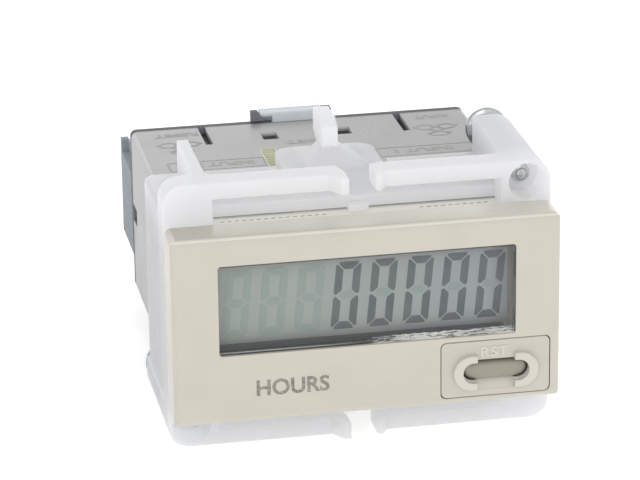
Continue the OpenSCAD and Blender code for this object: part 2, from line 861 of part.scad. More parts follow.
// Terminal cover: rear wall with screwdriver holes, side cheeks and an arm up to the hinge
module terminal_cover() color([0.6, 0.64, 0.68, 0.7]) {
    half = case_w / 2;
    difference() {
        union() {
            block(-half, half, cover_y, cover_end, cover_bottom, cover_top);
            for (s = [-1, 1]) {
                block(s * (half - cover_side_t / 2) - cover_side_t / 2,
                    s * (half - cover_side_t / 2) + cover_side_t / 2,
                    block_y + cover_gap, cover_end, cover_bottom, cover_side_top);
                block(s * (half - cover_side_t / 2) - cover_side_t / 2,
                    s * (half - cover_side_t / 2) + cover_side_t / 2,
                    cover_y, cover_end, cover_top - 1, cover_top + 0.3);
            }
            along_x(barrel_x0 + 0.05, barrel_x1 - 0.05)
                polygon([[cover_end, cover_top - 0.4], [cover_end, cover_top + 0.4],
                    [hinge_y, hinge_z + barrel_r - 0.02], [hinge_y, hinge_z - barrel_r + 0.02],
                    [cover_y, cover_top - 0.2]]);
            along_x(barrel_x0 + 1.7, barrel_x1 - 0.05)
                polygon([[cover_end, cover_top - 0.4], [cover_end, cover_top + 0.4],
                    [hinge_y + 0.3, hinge_z + 0.5], [hinge_y - 0.6, hinge_z],
                    [hinge_y - 0.55, hinge_z - 1.5], [hinge_y + 0.3, hinge_z - 1.5],
                    [cover_y, cover_top - 0.2]]);
        }
        for (x = terminal_xs)
            rod_y(x, 0, cover_y - over, cover_end + over, driver_hole_d / 2);
    }
    hinge_barrel();
}

// Bracket: sleeve round the case, front wings with sprung bars, fins, bosses and latches
module left_bar() {
    base = left_tip - 2;
    polygon([[-block_x - 0.2, br_y], [base, br_y], [base + 1.1, br_y - tooth_reach],
        [left_tip, br_y - tooth_reach], [left_tip, wing_rear - 2.6], [left_tip - 0.6, wing_rear - 0.3],
        [left_tip - 1, wing_rear], [-block_x - 0.2, wing_rear]]);
}

module right_bar() {
    reach = tooth_reach * 0.7;
    polygon([[block_x + 0.2, br_y], [right_tip + 1.5, br_y], [right_tip + 0.6, br_y - reach],
        [right_tip, br_y - reach + 0.3], [right_tip, wing_rear - 0.5], [right_tip + 0.7, wing_rear],
        [block_x + 0.2, wing_rear]]);
}

module bars() {
    along_z(bar_low, bar_top) {
        left_bar();
        right_bar();
    }
}

module sleeve() {
    difference() {
        union() {
            along_y(br_y, sleeve_rear)
                rounded_rect(sleeve_out_w, 2 * sleeve_top, 1);
            along_y(br_y, plate_front)
                intersection() {
                    rounded_rect(bracket_w, bracket_h, wing_corner);
                    difference() {
                        square([bracket_w, bracket_h], center = true);
                        square([2 * block_x, bracket_h + over], center = true);
                    }
                }
        }
        along_y(br_y - over, sleeve_rear + over)
            rounded_rect(sleeve_in_w, sleeve_in_h, case_corner);
        block(-block_x, block_x, br_y - over, plate_front, -bracket_h / 2, bracket_h / 2);
    }
}

// Latch on the sleeve's top: slit tongue, ramp and finger fin over the case's ratchet
module latch() {
    half = tongue_w / 2;
    end_y = sleeve_rear + tongue_reach;
    round = 2.4;
    along_z(sleeve_in_h / 2, sleeve_top) {
        translate([-half, sleeve_rear - over])
            square([tongue_w, tongue_reach - round + over]);
        translate([-half + round, sleeve_rear - over])
            square([tongue_w - 2 * round, tongue_reach + over]);
        for (s = [-1, 1])
            translate([s * (half - round), end_y - round])
                circle(round);
    }
    hull() {
        block(finger_x - finger_t / 2, finger_x + finger_t / 2, finger_front, end_y - 0.3,
            sleeve_top, sleeve_top + 0.9);
        along_z(sleeve_top - 0.2, sleeve_top)
            polygon([[-half + 1.3, sleeve_rear - 4], [half - 1.3, sleeve_rear - 4],
                [half - 1.7, sleeve_rear], [finger_x + 1.8, end_y - 0.3],
                [finger_x - 1.8, end_y - 0.3], [-half + 1.7, sleeve_rear]]);
    }
    along_x(finger_x - finger_t / 2, finger_x + finger_t / 2)
        polygon([[finger_front, sleeve_top], [finger_front, bar_top - 0.8],
            [finger_front + 1.6, bar_top], [finger_rear, bar_top], [finger_rear, bar_top - 2.8],
            [end_y - 0.2, sleeve_top]]);
}

module boss() {
    outer = bracket_w / 2;
    along_y(wing_rear, br_y + 3.5 + boss_len) {
        translate([outer - boss_w, sleeve_top - 0.5])
            square([boss_w - boss_round, bar_top - sleeve_top + 0.5]);
        translate([outer - boss_w, sleeve_top - 0.5])
            square([boss_w, bar_top - boss_round - sleeve_top + 0.5]);
        translate([outer - boss_round, bar_top - boss_round])
            circle(boss_round);
    }
}

// All that the bracket's upper half carries, turned over for the lower half
module upper_fittings() {
    boss();
    latch();
    along_y(wing_rear - 0.5, sleeve_rear)
        translate([fin_x - fin_t / 2, sleeve_top - 0.5])
            square([fin_t, bar_top - sleeve_top + 0.5]);
    along_z(sleeve_in_h / 2, sleeve_in_h / 2 + 0.8)
        polygon([[tab_x - 1.1, plate_front + over], [tab_x - 1.1, br_y + 2.2],
            [tab_x + 1, br_y + 2.2], [tab_x + 1.4, br_y + 3], [tab_x + 1.4, plate_front + over]]);
}

module upper_cuts() {
    for (s = [-1, 1])
        block(s * (tongue_w / 2 + slit_w / 2) - slit_w / 2, s * (tongue_w / 2 + slit_w / 2) + slit_w / 2,
            sleeve_rear - slit_len, sleeve_rear + over, case_h / 2, sleeve_top + over);
    rod_y(clamp_x, clamp_z, br_y - over, br_y + pocket_depth, pocket_r);
    rod_y(clamp_x, clamp_z, br_y, br_y + 4 + boss_len, clamp_d / 2 + clamp_run);
}

module mounting_bracket() color([0.9, 0.91, 0.92]) {
    difference() {
        union() {
            sleeve();
            bars();
            mirror([0, 0, 1])
                bars();
            upper_fittings();
            rotate([0, 180, 0])
                upper_fittings();
        }
        upper_cuts();
        rotate([0, 180, 0])
            upper_cuts();
    }
}

// Pan-head screw with a reduced tip, lying along Y with its head to the rear
module clamp_screw() {
    shank = clamp_d / 2;
    head_y = clamp_tip_y + clamp_len;
    head_r = clamp_head_d / 2;
    rim = 0.7;
    difference() {
        translate([clamp_x, clamp_tip_y, clamp_z])
            rotate([-90, 0, 0])
                rotate_extrude()
                    union() {
                        polygon([[0, 0], [shank * 0.62, 0], [shank * 0.72, 0.2], [shank * 0.72, 0.7],
                            [shank, 1.1], [shank, clamp_len], [0, clamp_len]]);
                        polygon([[0, clamp_len], [head_r, clamp_len], [head_r, clamp_len + rim],
                            for (a = [15:15:60]) [head_r * cos(a), clamp_len + rim
                                + (clamp_head_h - rim) * sin(a) / sin(60)],
                            [0, clamp_len + clamp_head_h]]);
                    }
        cross_recess(clamp_x, clamp_z, head_y + clamp_head_h, 1.6);
    }
}

module upper_clamp_screw() color([0.72, 0.73, 0.74])
    clamp_screw();

module lower_clamp_screw() color([0.72, 0.73, 0.74])
    rotate([0, 180, 0])
        clamp_screw();

case();
window();
display_frame();
lcd_glass();
lcd_polariser();
lcd_reflector();
lit_segments();
idle_segments();
elastomer_connectors();
front_board();
controller_chip();
quartz_crystal();
chip_components();
reset_switch();
switch_plunger();
key_surround();
reset_key();
battery();
battery_tray();
battery_contact_plus();
battery_contact_minus();
terminal_block();
contact_strips();
terminal_plates();
clamp_washers();
terminal_screws();
terminal_cover();
mounting_bracket();
upper_clamp_screw();
lower_clamp_screw();
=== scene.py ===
import logging
import math
from collections.abc import Callable, Mapping, Sequence
from dataclasses import dataclass, field
from enum import Enum
from typing import Any, ClassVar

import bmesh
import bpy
import numpy as np
from mathutils import Matrix


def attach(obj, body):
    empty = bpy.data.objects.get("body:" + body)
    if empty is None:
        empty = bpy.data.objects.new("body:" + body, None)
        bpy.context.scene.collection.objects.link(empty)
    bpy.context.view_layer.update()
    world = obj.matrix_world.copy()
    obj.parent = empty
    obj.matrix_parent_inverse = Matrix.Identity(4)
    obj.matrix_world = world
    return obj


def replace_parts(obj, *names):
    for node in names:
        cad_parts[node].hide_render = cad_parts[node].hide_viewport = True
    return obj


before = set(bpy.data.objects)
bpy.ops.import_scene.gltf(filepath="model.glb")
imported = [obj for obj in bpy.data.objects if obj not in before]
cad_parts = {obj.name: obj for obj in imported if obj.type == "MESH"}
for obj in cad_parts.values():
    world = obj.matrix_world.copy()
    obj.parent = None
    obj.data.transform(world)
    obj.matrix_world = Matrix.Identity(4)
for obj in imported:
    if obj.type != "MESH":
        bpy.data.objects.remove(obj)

MM = 0.001
PER_METRE = 1000.0
LOG = logging.getLogger("hour_meter")
Colour = tuple[float, float, float]
Vec = tuple[float, float, float]
Pair = tuple[float, float]
Array = np.ndarray

BLACK: Colour = (0.0, 0.0, 0.0)
WHITE: Colour = (1.0, 1.0, 1.0)


def srgb(red: float, green: float, blue: float) -> Colour:
    """Linear light of a display colour.

    Each channel c of 0 to 255 becomes ((c / 255 + 0.055) / 1.055) to the power 2.4.

    Args:
        red: Red, 0 to 255.
        green: Green, 0 to 255.
        blue: Blue, 0 to 255.

    Returns:
        The three linear channels.
    """
    shown = np.array([red, green, blue]) / 255.0
    linear = np.where(shown > 0.04045, ((shown + 0.055) / 1.055) ** 2.4, shown / 12.92)
    return tuple(float(c) for c in linear)


# Shader graph


@dataclass(frozen=True)
class Sock:
    """An output socket that can be used in Python sums."""

    graph: "Graph"
    out: bpy.types.NodeSocket

    def _math(self, operation: str, *values: Any) -> "Sock":
        """One Math node on the given values."""
        return self.graph.node("ShaderNodeMath", {"operation": operation}, dict(enumerate(values)))[0]

    def __add__(self, other: Any) -> "Sock":
        """Self plus other."""
        return self._math("ADD", self, other)

    def __radd__(self, other: Any) -> "Sock":
        """Other plus self."""
        return self._math("ADD", other, self)

    def __sub__(self, other: Any) -> "Sock":
        """Self less other."""
        return self._math("SUBTRACT", self, other)

    def __rsub__(self, other: Any) -> "Sock":
        """Other less self."""
        return self._math("SUBTRACT", other, self)

    def __mul__(self, other: Any) -> "Sock":
        """Self times other."""
        return self._math("MULTIPLY", self, other)

    def __rmul__(self, other: Any) -> "Sock":
        """Other times self."""
        return self._math("MULTIPLY", other, self)

    def __truediv__(self, other: Any) -> "Sock":
        """Self over other."""
        return self._math("DIVIDE", self, other)

    def __rtruediv__(self, other: Any) -> "Sock":
        """Other over self."""
        return self._math("DIVIDE", other, self)

    def __pow__(self, other: Any) -> "Sock":
        """Self to the power other."""
        return self._math("POWER", self, other)

    def __abs__(self) -> "Sock":
        """Self without its sign."""
        return self._math("ABSOLUTE", self)

    def above(self, level: Any) -> "Sock":
        """1 where self is greater than level, else 0."""
        return self._math("GREATER_THAN", self, level)

    def greatest(self, other: Any) -> "Sock":
        """The greater of self and other."""
        return self._math("MAXIMUM", self, other)

    def sine(self) -> "Sock":
        """Sine of self, in radians."""
        return self._math("SINE", self)

    def step(self, low: float, high: float, start: float = 0.0, end: float = 1.0) -> "Sock":
        """Smooth step from start to end.

        Args:
            low: Value of self where the step starts.
            high: Value of self where it ends.
            start: Result below low.
            end: Result above high.

        Returns:
            The stepped value.
        """
        made = self.graph.node(
            "ShaderNodeMapRange",
            {"interpolation_type": "SMOOTHSTEP"},
            {"Value": self, "From Min": low, "From Max": high, "To Min": start, "To Max": end},
        )
        return made[0]


@dataclass(frozen=True)
class Made:
    """A node that was made, whose outputs are taken by name or number."""

    graph: "Graph"
    node: bpy.types.Node

    def __getitem__(self, key: str | int) -> Sock:
        """The output of that name or number."""
        return Sock(self.graph, self.node.outputs[key])


class Graph:
    """The nodes of one material or of the world."""

    def __init__(self, owner: Any) -> None:
        """Starts an empty graph.

        Args:
            owner: A material or a world.
        """
        owner.use_nodes = True
        self.tree = owner.node_tree
        self.tree.nodes.clear()

    def node(
        self,
        kind: str,
        settings: Mapping[str, Any] | None = None,
        sockets: Mapping[str | int, Any] | None = None,
    ) -> Made:
        """Makes one node.

        Args:
            kind: Blender's name of the node type.
            settings: The node's own settings, set first. "stops" is a ramp's list of (place, colour).
            sockets: Values or links of its inputs, by name or number.

        Returns:
            The node.
        """
        node = self.tree.nodes.new(kind)
        for name, value in (settings or {}).items():
            if name == "stops":
                marks = node.color_ramp.elements
                while len(marks) < len(value):
                    marks.new(1.0)
                for mark, (place, colour) in zip(marks, value):
                    mark.position, mark.color = place, (*colour, 1.0)
            else:
                setattr(node, name, value)
        for key, value in (sockets or {}).items():
            socket = node.inputs[key]
            if isinstance(value, Sock):
                self.tree.links.new(value.out, socket)
            elif isinstance(value, tuple) and socket.type == "RGBA":
                socket.default_value = (*value[:3], 1.0)
            else:
                socket.default_value = value
        return Made(self, node)

    def place(self) -> Sock:
        """The point on the object, in metres in the object's frame."""
        return self.node("ShaderNodeTexCoord")["Object"]

    def axes(self) -> tuple[Sock, Sock, Sock]:
        """The point's X, Y and Z, each in millimetres."""
        split = self.node("ShaderNodeSeparateXYZ", None, {0: self.place()})
        return split[0] * PER_METRE, split[1] * PER_METRE, split[2] * PER_METRE

    def facing(self) -> Made:
        """The true normal's share along X, Y and Z."""
        return self.node("ShaderNodeSeparateXYZ", None, {0: self.node("ShaderNodeNewGeometry")["Normal"]})

    def stretched(self, scale: Vec) -> Sock:
        """The point on the object with each axis scaled."""
        return self.node("ShaderNodeMapping", None, {"Vector": self.place(), "Scale": scale})[0]

    def noise(self, size: float, detail: float = 2.0, rough: float = 0.5, at: Sock | None = None) -> Sock:
        """Noise of 0 to 1.

        Args:
            size: About how wide its cells are, in millimetres.
            detail: Number of finer layers.
            rough: Share that each finer layer keeps.
            at: Where it is taken, else at the point on the object.

        Returns:
            The noise.
        """
        sockets = {
            "Vector": at or self.place(),
            "Scale": PER_METRE / size,
            "Detail": detail,
            "Roughness": rough,
        }
        return self.node("ShaderNodeTexNoise", None, sockets)["Fac"]

    def blend(self, factor: Any, first: Any, second: Any, how: str = "MIX") -> Sock:
        """Colour mixed from first to second by factor."""
        settings = {"data_type": "RGBA", "blend_type": how, "clamp_factor": True}
        return self.node("ShaderNodeMix", settings, {0: factor, 6: first, 7: second})[2]

    def layered(self, base: Any, *layers: tuple[Any, Any]) -> Sock:
        """Colour with further ones over it.

        Args:
            base: The lowest colour.
            layers: Share and colour of each layer, from below.

        Returns:
            The colour that shows.
        """
        for share, tone in layers:
            base = self.blend(share, base, tone)
        return base

    def soft_normal(self, radius: float) -> Sock:
        """Normal with edges rounded to that radius in millimetres."""
        return self.node("ShaderNodeBevel", {"samples": 4}, {"Radius": radius * MM})[0]

    def bump(self, height: Sock, depth: float, normal: Sock | None = None, strength: float = 1.0) -> Sock:
        """Normal bent by a height.

        Args:
            height: The height, 0 to 1.
            depth: What a height of 1 stands for, in millimetres.
            normal: The normal that is bent, else the surface's own.
            strength: Share of the bend that is kept.

        Returns:
            The bent normal.
        """
        sockets = {"Height": height, "Distance": depth * MM, "Strength": strength}
        if normal is not None:
            sockets["Normal"] = normal
        return self.node("ShaderNodeBump", None, sockets)[0]

    def edges(self, normal: Sock) -> Sock:
        """Mask of the edges, 0 on flats and rising towards 1.

        It steps up with 1 less the dot of the true and the rounded normal.

        Args:
            normal: The rounded normal.

        Returns:
            The mask.
        """
        true = self.node("ShaderNodeNewGeometry")["Normal"]
        product = self.node("ShaderNodeVectorMath", {"operation": "DOT_PRODUCT"}, {0: true, 1: normal})
        return (1.0 - product["Value"]).step(0.01, 0.25)

    def seen(self) -> Sock:
        """1 for rays from the camera, from mirrors and through clear parts, else 0."""
        path = self.node("ShaderNodeLightPath")
        return path["Is Camera Ray"].greatest(path["Is Glossy Ray"]).greatest(path["Is Transmission Ray"])

    def principled(self, sockets: Mapping[str | int, Any]) -> Sock:
        """A Principled shader."""
        return self.node("ShaderNodeBsdfPrincipled", None, sockets)[0]

    def clear(self, tint: Colour = WHITE) -> Sock:
        """A Transparent shader."""
        return self.node("ShaderNodeBsdfTransparent", None, {"Color": tint})[0]

    def mixed(self, share: Any, first: Sock, second: Sock) -> Sock:
        """Two shaders mixed from first to second by share."""
        return self.node("ShaderNodeMixShader", None, {0: share, 1: first, 2: second})[0]

    def output(self, shader: Sock, kind: str = "ShaderNodeOutputMaterial") -> None:
        """Joins the shader to the output."""
        self.node(kind, None, {"Surface": shader})


# Finishes


@dataclass(frozen=True)
class Finish:
    """A surface finish, built once as a material."""

    name: str

    made: ClassVar[dict[str, bpy.types.Material]] = {}

    def shader(self, g: Graph) -> Sock:
        """The finish's shader."""
        raise NotImplementedError

    def material(self) -> bpy.types.Material:
        """The material of this finish, made at the first call.

        Returns:
            The material.
        """
        if self.name not in Finish.made:
            material = bpy.data.materials.new(self.name)
            g = Graph(material)
            g.output(self.shader(g))
            Finish.made[self.name] = material
        return Finish.made[self.name]

    def dress(self, piece: bpy.types.Object) -> bpy.types.Object:
        """Puts the finish on every material slot of a piece.

        Args:
            piece: The piece.

        Returns:
            The same piece.
        """
        if not piece.material_slots:
            piece.data.materials.append(self.material())
        for slot in piece.material_slots:
            slot.material = self.material()
        return piece


def shaded(colour: Colour, share: float) -> Colour:
    """A colour with that share of its light."""
    return tuple(c * share for c in colour)


@dataclass(frozen=True)
class MouldedPlastic(Finish):
    """Moulded plastic: a faint mottle, a fine spark-eroded grain and softened, slightly paler edges."""

    colour: Colour = (0.6, 0.6, 0.6)
    rear_colour: Colour | None = None
    split_y: Pair = (0.1, 0.3)
    rough: float = 0.45
    grain: float = 0.16
    grain_depth: float = 0.006
    grain_tone: Colour = (0.2, 0.2, 0.2)
    mottle: float = 0.05
    mottle_size: float = 6.0
    edge: float = 0.2
    edge_light: float = 0.12
    specular: float = 0.4

    def mottled(self, g: Graph, wide: Sock) -> Sock:
        """The colour with its mottle.

        One colour is mixed with a darker one by the noise. Two colours, split along Y, are dimmed by it.

        Args:
            g: The material's graph.
            wide: Wide noise.

        Returns:
            The mottled colour.
        """
        if self.rear_colour is None:
            return g.blend((wide - 0.35) * 1.2, self.colour, shaded(self.colour, 1.0 - 2.0 * self.mottle))
        both = g.blend(g.axes()[1].step(*self.split_y), self.colour, self.rear_colour)
        return g.blend((wide - 0.45) * self.mottle * 8.0, both, BLACK, "MULTIPLY")

    def marked(self, g: Graph, base: Sock) -> Sock:
        """The colour with the marks of a certain piece on it; none here."""
        return base

    def shader(self, g: Graph) -> Sock:
        """Principled plastic whose mottle is wide noise, and whose grain is fine noise.

        Args:
            g: The material's graph.

        Returns:
            The shader.
        """
        normal = g.soft_normal(self.edge)
        wide = g.noise(self.mottle_size, 3.0)
        fine = g.noise(self.grain, 2.0, 0.6)
        base = g.layered(
            self.marked(g, self.mottled(g, wide)),
            (g.edges(normal) * self.edge_light, WHITE),
            ((fine - 0.5) * 0.25, self.grain_tone),
        )
        sockets = {
            "Base Color": base,
            "Roughness": self.rough + (fine - 0.5) * 0.14 + (wide - 0.5) * 0.1,
            "Specular IOR Level": self.specular,
            "Normal": g.bump(fine, self.grain_depth, normal),
        }
        return g.principled(sockets)


@dataclass(frozen=True)
class CasePlastic(MouldedPlastic):
    """Plastic of bezel and case, with painted shade on top, painted light in the openings, and ratchets
    tinted with painted light and shade.
    """

    # painted shade on the case's top: least at the left, deeper towards the middle and the right
    painted_shade_x: Vec = (-22.0, -8.0, 16.0)
    painted_shade_shares: Vec = (0.24, 0.07, 0.12)
    # painted light on the strip of the case just behind the bezel, which lies in the bracket's shade
    lip_light_y: Pair = (4.2, 5.4)
    lip_light: Colour = (0.9, 0.87, 0.78)
    # painted shade on the case's sides
    side_shade_share: float = 0.14
    # painted light on the rounded edges between the case's sides and its top
    fillet_light_share: float = 0.34
    fillet_light: Colour = (0.9, 0.9, 0.9)
    # painted light on the walls inside the openings in the top; the colour field named window holds it
    opening_light_x: Pair = (21.5, 21.8)
    opening_light_y: float = 31.5
    opening_light_z: Pair = (10.1, 11.1)
    window: Colour = (1.0, 1.0, 0.98)
    # painted shade along the rear edge of the case's top, where it meets the block
    joint_shade_y: Pair = (39.85, 40.1)
    joint_shade_share: float = 0.7
    joint_shade: Colour = (0.03, 0.03, 0.035)
    ratchet_x: Pair = (-7.1, -5.1)
    ratchet_y: Pair = (4.4, 30.05)
    ratchet_floor: float = 10.4
    # the ratchets: a pale yellowish tint that is partly their colour and partly painted light, and painted
    # shade in their valleys
    tooth_tint_and_light_share: float = 0.9
    tooth_tint_and_light: Colour = srgb(221, 220, 197)
    crest: float = 11.0
    valley_shade_depth: Pair = (0.02, 0.35)
    valley_shade_share: float = 0.7
    valley_shade: Colour = srgb(178, 177, 151)
    # painted shade at the left and painted light at the right of the bezel's level top
    level_y: Pair = (-0.1, 0.1)
    level_shade_x: Pair = (2.0, 18.0)
    level_shade_share: float = 0.17
    level_light_x: Pair = (6.0, 22.0)
    level_light_share: float = 0.12
    level_light: Colour = (1.0, 0.98, 0.94)
    # painted highlight on the rounded edge above the bezel's front
    highlight_y: Pair = (-4.4, -3.9)
    highlight_share: float = 0.42
    painted_highlight: Colour = (1.0, 0.99, 0.93)
    # painted shade on the walls of the bezel's openings that face left, at its right end
    slit_shade_x: float = 17.0
    slit_shade_share: float = 0.85
    slit_shade: Colour = (0.04, 0.038, 0.035)

    def case_layers(self, g: Graph) -> list[tuple[Sock, Colour]]:
        """Marks behind the bezel.

        From below: painted shade on the top that deepens to the right, painted light on the strip behind
        the bezel, painted shade on the sides, painted light on the fillets beside the top and on the walls
        in the openings, painted shade along the rear edge where the case meets the block, and the ratchets,
        tinted partly with painted light, with painted shade in their valleys by their height. Each share is
        a product of smooth steps over the place and the normal.

        Args:
            g: The material's graph.

        Returns:
            Share and colour of each mark.
        """
        x, y, z = g.axes()
        facing = g.facing()
        height, sideways, upwards = abs(z), abs(facing[0]), facing[2]
        behind = y.step(*self.split_y)
        left, middle, right = self.painted_shade_x
        least, first, second = self.painted_shade_shares
        # shade is the share of painted shade on the case's top
        shade = x.step(left, middle) * first + x.step(middle, right) * second + least
        inside = abs(x).step(*self.opening_light_x, 1.0, 0.0) * y.above(self.opening_light_y)
        inward = (facing[1] * -1.0).step(0.5, 0.9).greatest((facing[0] * -1.0).step(0.5, 0.9))
        turned = x * (z / height)
        across = turned.above(self.ratchet_x[0]) * (1.0 - turned.above(self.ratchet_x[1]))
        along = y.above(self.ratchet_y[0]) * (1.0 - y.above(self.ratchet_y[1]))
        strip = across * along * height.above(self.ratchet_floor)
        return [
            (behind * shade, BLACK),
            (behind * y.step(*self.lip_light_y, 1.0, 0.0), self.lip_light),
            (behind * sideways.step(0.4, 0.9) * self.side_shade_share, BLACK),
            (behind * sideways.step(0.2, 0.6) * upwards.step(0.1, 0.5) * self.fillet_light_share, self.fillet_light),
            (inside * inward * z.step(*self.opening_light_z), self.window),
            (y.step(*self.joint_shade_y) * self.joint_shade_share, self.joint_shade),
            (strip * self.tooth_tint_and_light_share, self.tooth_tint_and_light),
            (strip * (self.crest - height).step(*self.valley_shade_depth) * self.valley_shade_share, self.valley_shade),
        ]

    def bezel_layers(self, g: Graph) -> list[tuple[Sock, Colour]]:
        """Marks of the bezel.

        From below: the level top, with painted shade at the left and painted light at the right, a painted
        highlight on the rounded edge above the front, and painted shade on the walls of the openings that
        face left, at the right end.

        Args:
            g: The material's graph.

        Returns:
            Share and colour of each mark.
        """
        x, y, _ = g.axes()
        facing = g.facing()
        upwards = facing[2]
        level = upwards.step(0.93, 0.98) * y.step(*self.level_y, 1.0, 0.0)
        # sloped: the band of the rounded edge that gets the painted highlight
        sloped = upwards.step(0.5, 0.65) * upwards.step(0.75, 0.92, 1.0, 0.0)
        # wall: where that painted shade falls
        wall = (facing[0] * -1.0).step(0.5, 0.9) * x.above(self.slit_shade_x) * (1.0 - y.step(*self.split_y))
        return [
            (level * x.step(*self.level_shade_x, self.level_shade_share, 0.0), BLACK),
            (level * x.step(*self.level_light_x) * self.level_light_share, self.level_light),
            (sloped * y.step(*self.highlight_y, 1.0, 0.0) * self.highlight_share, self.painted_highlight),
            (wall * self.slit_shade_share, self.slit_shade),
        ]

    def marked(self, g: Graph, base: Sock) -> Sock:
        """The colour with the marks of the case, then those of the bezel."""
        return g.layered(base, *self.case_layers(g), *self.bezel_layers(g))


@dataclass(frozen=True)
class GapPlastic(MouldedPlastic):
    """Moulded plastic that turns to a painted tone past a depth: painted shade round the key, painted light
    on the display frame's right wall.
    """

    painted_gap_tone: Colour = (0.05, 0.045, 0.04)
    gap_axis: int = 0
    gap_span: Pair = (-4.7, -4.3)

    def marked(self, g: Graph, base: Sock) -> Sock:
        """Blended to the painted tone by a smooth step along its axis."""
        return g.blend(g.axes()[self.gap_axis].step(*self.gap_span), base, self.painted_gap_tone)


@dataclass(frozen=True)
class BlockPlastic(MouldedPlastic):
    """Dark plastic of the terminal block, with painted light where it faces the front behind the case."""

    # front: painted light on the block's faces towards the front
    front: Colour = (0.25, 0.26, 0.285)
    behind: float = 40.2

    def marked(self, g: Graph, base: Sock) -> Sock:
        """Blended to the front's painted light by the normal's share towards -Y, past the case's rear."""
        forwards = (g.facing()[1] * -1.0).step(0.3, 0.8)
        return g.blend(forwards * g.axes()[1].above(self.behind), base, self.front)


@dataclass(frozen=True)
class KeyPlastic(GapPlastic):
    """Plastic of the reset key, with painted shade along its outline, where its surround shades it."""

    centre: Pair = (15.85, -7.7)
    half: float = 2.8
    rim: Pair = (0.75, 1.05)
    ends: Pair = (2.3, 3.2)
    ends_shade_share: float = 0.8
    top: Pair = (0.35, 0.95)
    top_shade_share: float = 0.4

    def marked(self, g: Graph, base: Sock) -> Sock:
        """Painted shade at its ends, towards its top and past the gap's depth.

        The ends follow the distance from the key's middle line, which is half long to each side.

        Args:
            g: The material's graph.
            base: The colour so far.

        Returns:
            The marked colour.
        """
        x, _, z = g.axes()
        aside, rise = abs(x - self.centre[0]), z - self.centre[1]
        beyond = (aside - self.half).greatest(0.0)
        away = (beyond ** 2.0 + rise ** 2.0) ** 0.5
        ends = away.step(*self.rim) * aside.step(*self.ends) * self.ends_shade_share
        # shade: share of painted shade at the ends and towards the top
        shade = ends.greatest(rise.step(*self.top) * self.top_shade_share)
        return super().marked(g, g.blend(shade, base, self.painted_gap_tone))


@dataclass(frozen=True)
class SurroundPlastic(MouldedPlastic):
    """Plastic of the key's surround: painted shade in the gap round the key, painted light on the raised
    guards and the slope below the key.
    """

    key: Pair = (15.85, -7.7)
    slope_half: float = 2.4
    slope_drop: float = 0.6
    # gap: painted shade past the plate's face; slope and guard: painted light
    gap_y: Pair = (-4.8, -4.5)
    gap: Colour = (0.05, 0.045, 0.04)
    slope_y: Pair = (-4.98, -4.85)
    slope_share: float = 0.2
    slope: Colour = (0.95, 0.94, 0.92)
    guard_y: Pair = (-5.3, -5.15)
    guard_share: float = 0.22
    guard: Colour = (0.9, 0.87, 0.8)

    def marked(self, g: Graph, base: Sock) -> Sock:
        """Painted shade past the plate's face, save on the slope below the key, and painted light on that
        slope and in front of the plate.

        Args:
            g: The material's graph.
            base: The colour so far.

        Returns:
            The marked colour.
        """
        x, y, z = g.axes()
        aside = abs(x - self.key[0]).above(self.slope_half)
        kept = aside.greatest(z.above(self.key[1] - self.slope_drop))
        return g.layered(
            base,
            (y.step(*self.gap_y) * kept, self.gap),
            (y.step(*self.slope_y) * (1.0 - kept) * self.slope_share, self.slope),
            (y.step(*self.guard_y, 1.0, 0.0) * self.guard_share, self.guard),
        )


@dataclass(frozen=True)
class Nylon(Finish):
    """Natural nylon: milky and a little translucent, with a low sheen and faint flow marks."""

    colour: Colour = (0.8, 0.8, 0.8)
    cool: Vec = (0.955, 0.965, 0.978)
    edge: Colour = (0.95, 0.96, 0.98)
    rough: float = 0.42
    depth: float = 2.5
    passed: float = 0.55
    passed_tint: Colour = (0.895, 0.9, 0.91)
    # glow: emission, painted light for the light that shines through the nylon
    glow: float = 0.24
    clear_in_shadow: float = 0.45
    # the thin finger, which gets painted light
    thin_z: Pair = (11.9, 12.6)
    thin_x: Pair = (3.0, 4.0)
    thin_y: Pair = (14.0, 16.0)

    def shader(self, g: Graph) -> Sock:
        """Principled plastic that scatters, mixed with a share that passes light.

        Flow marks are noise drawn out along X. The thin finger gets painted light, and the whole part glows
        a little, painted light for what shines through it. A part of the light passes straight through to
        thin the shadow.

        Args:
            g: The material's graph.

        Returns:
            The shader.
        """
        normal = g.soft_normal(0.25)
        flow = g.noise(7.0, 3.0, 0.55, g.stretched((0.35, 1.0, 0.6)))
        fine = g.noise(0.35, 2.0)
        cooler = tuple(c * k for c, k in zip(self.colour, self.cool))
        x, y, z = g.axes()
        thin = z.step(*self.thin_z) * abs(x).step(*self.thin_x, 1.0, 0.0) * y.step(*self.thin_y)
        base = g.layered(
            self.colour,
            ((flow - 0.4) * 2.0, cooler),
            (g.edges(normal) * 0.25, self.edge),
            (thin * 0.35, WHITE),
        )
        sockets = {
            "Base Color": base,
            "Roughness": self.rough + (fine - 0.5) * 0.12 + (flow - 0.5) * 0.12,
            "Subsurface Weight": 0.85,
            "Subsurface Radius": WHITE,
            "Subsurface Scale": self.depth * MM,
            "Specular IOR Level": 0.45,
            "Emission Color": g.layered(base, (0.3, BLACK), (thin * 0.5, WHITE)),
            "Emission Strength": self.glow,
            "Normal": g.bump(fine, 0.006, normal),
        }
        passing = g.node("ShaderNodeBsdfTranslucent", None, {"Color": self.passed_tint})[0]
        solid = g.mixed(self.passed, g.principled(sockets), passing)
        shadow = g.node("ShaderNodeLightPath")["Is Shadow Ray"]
        return g.mixed(shadow * self.clear_in_shadow, solid, g.clear())


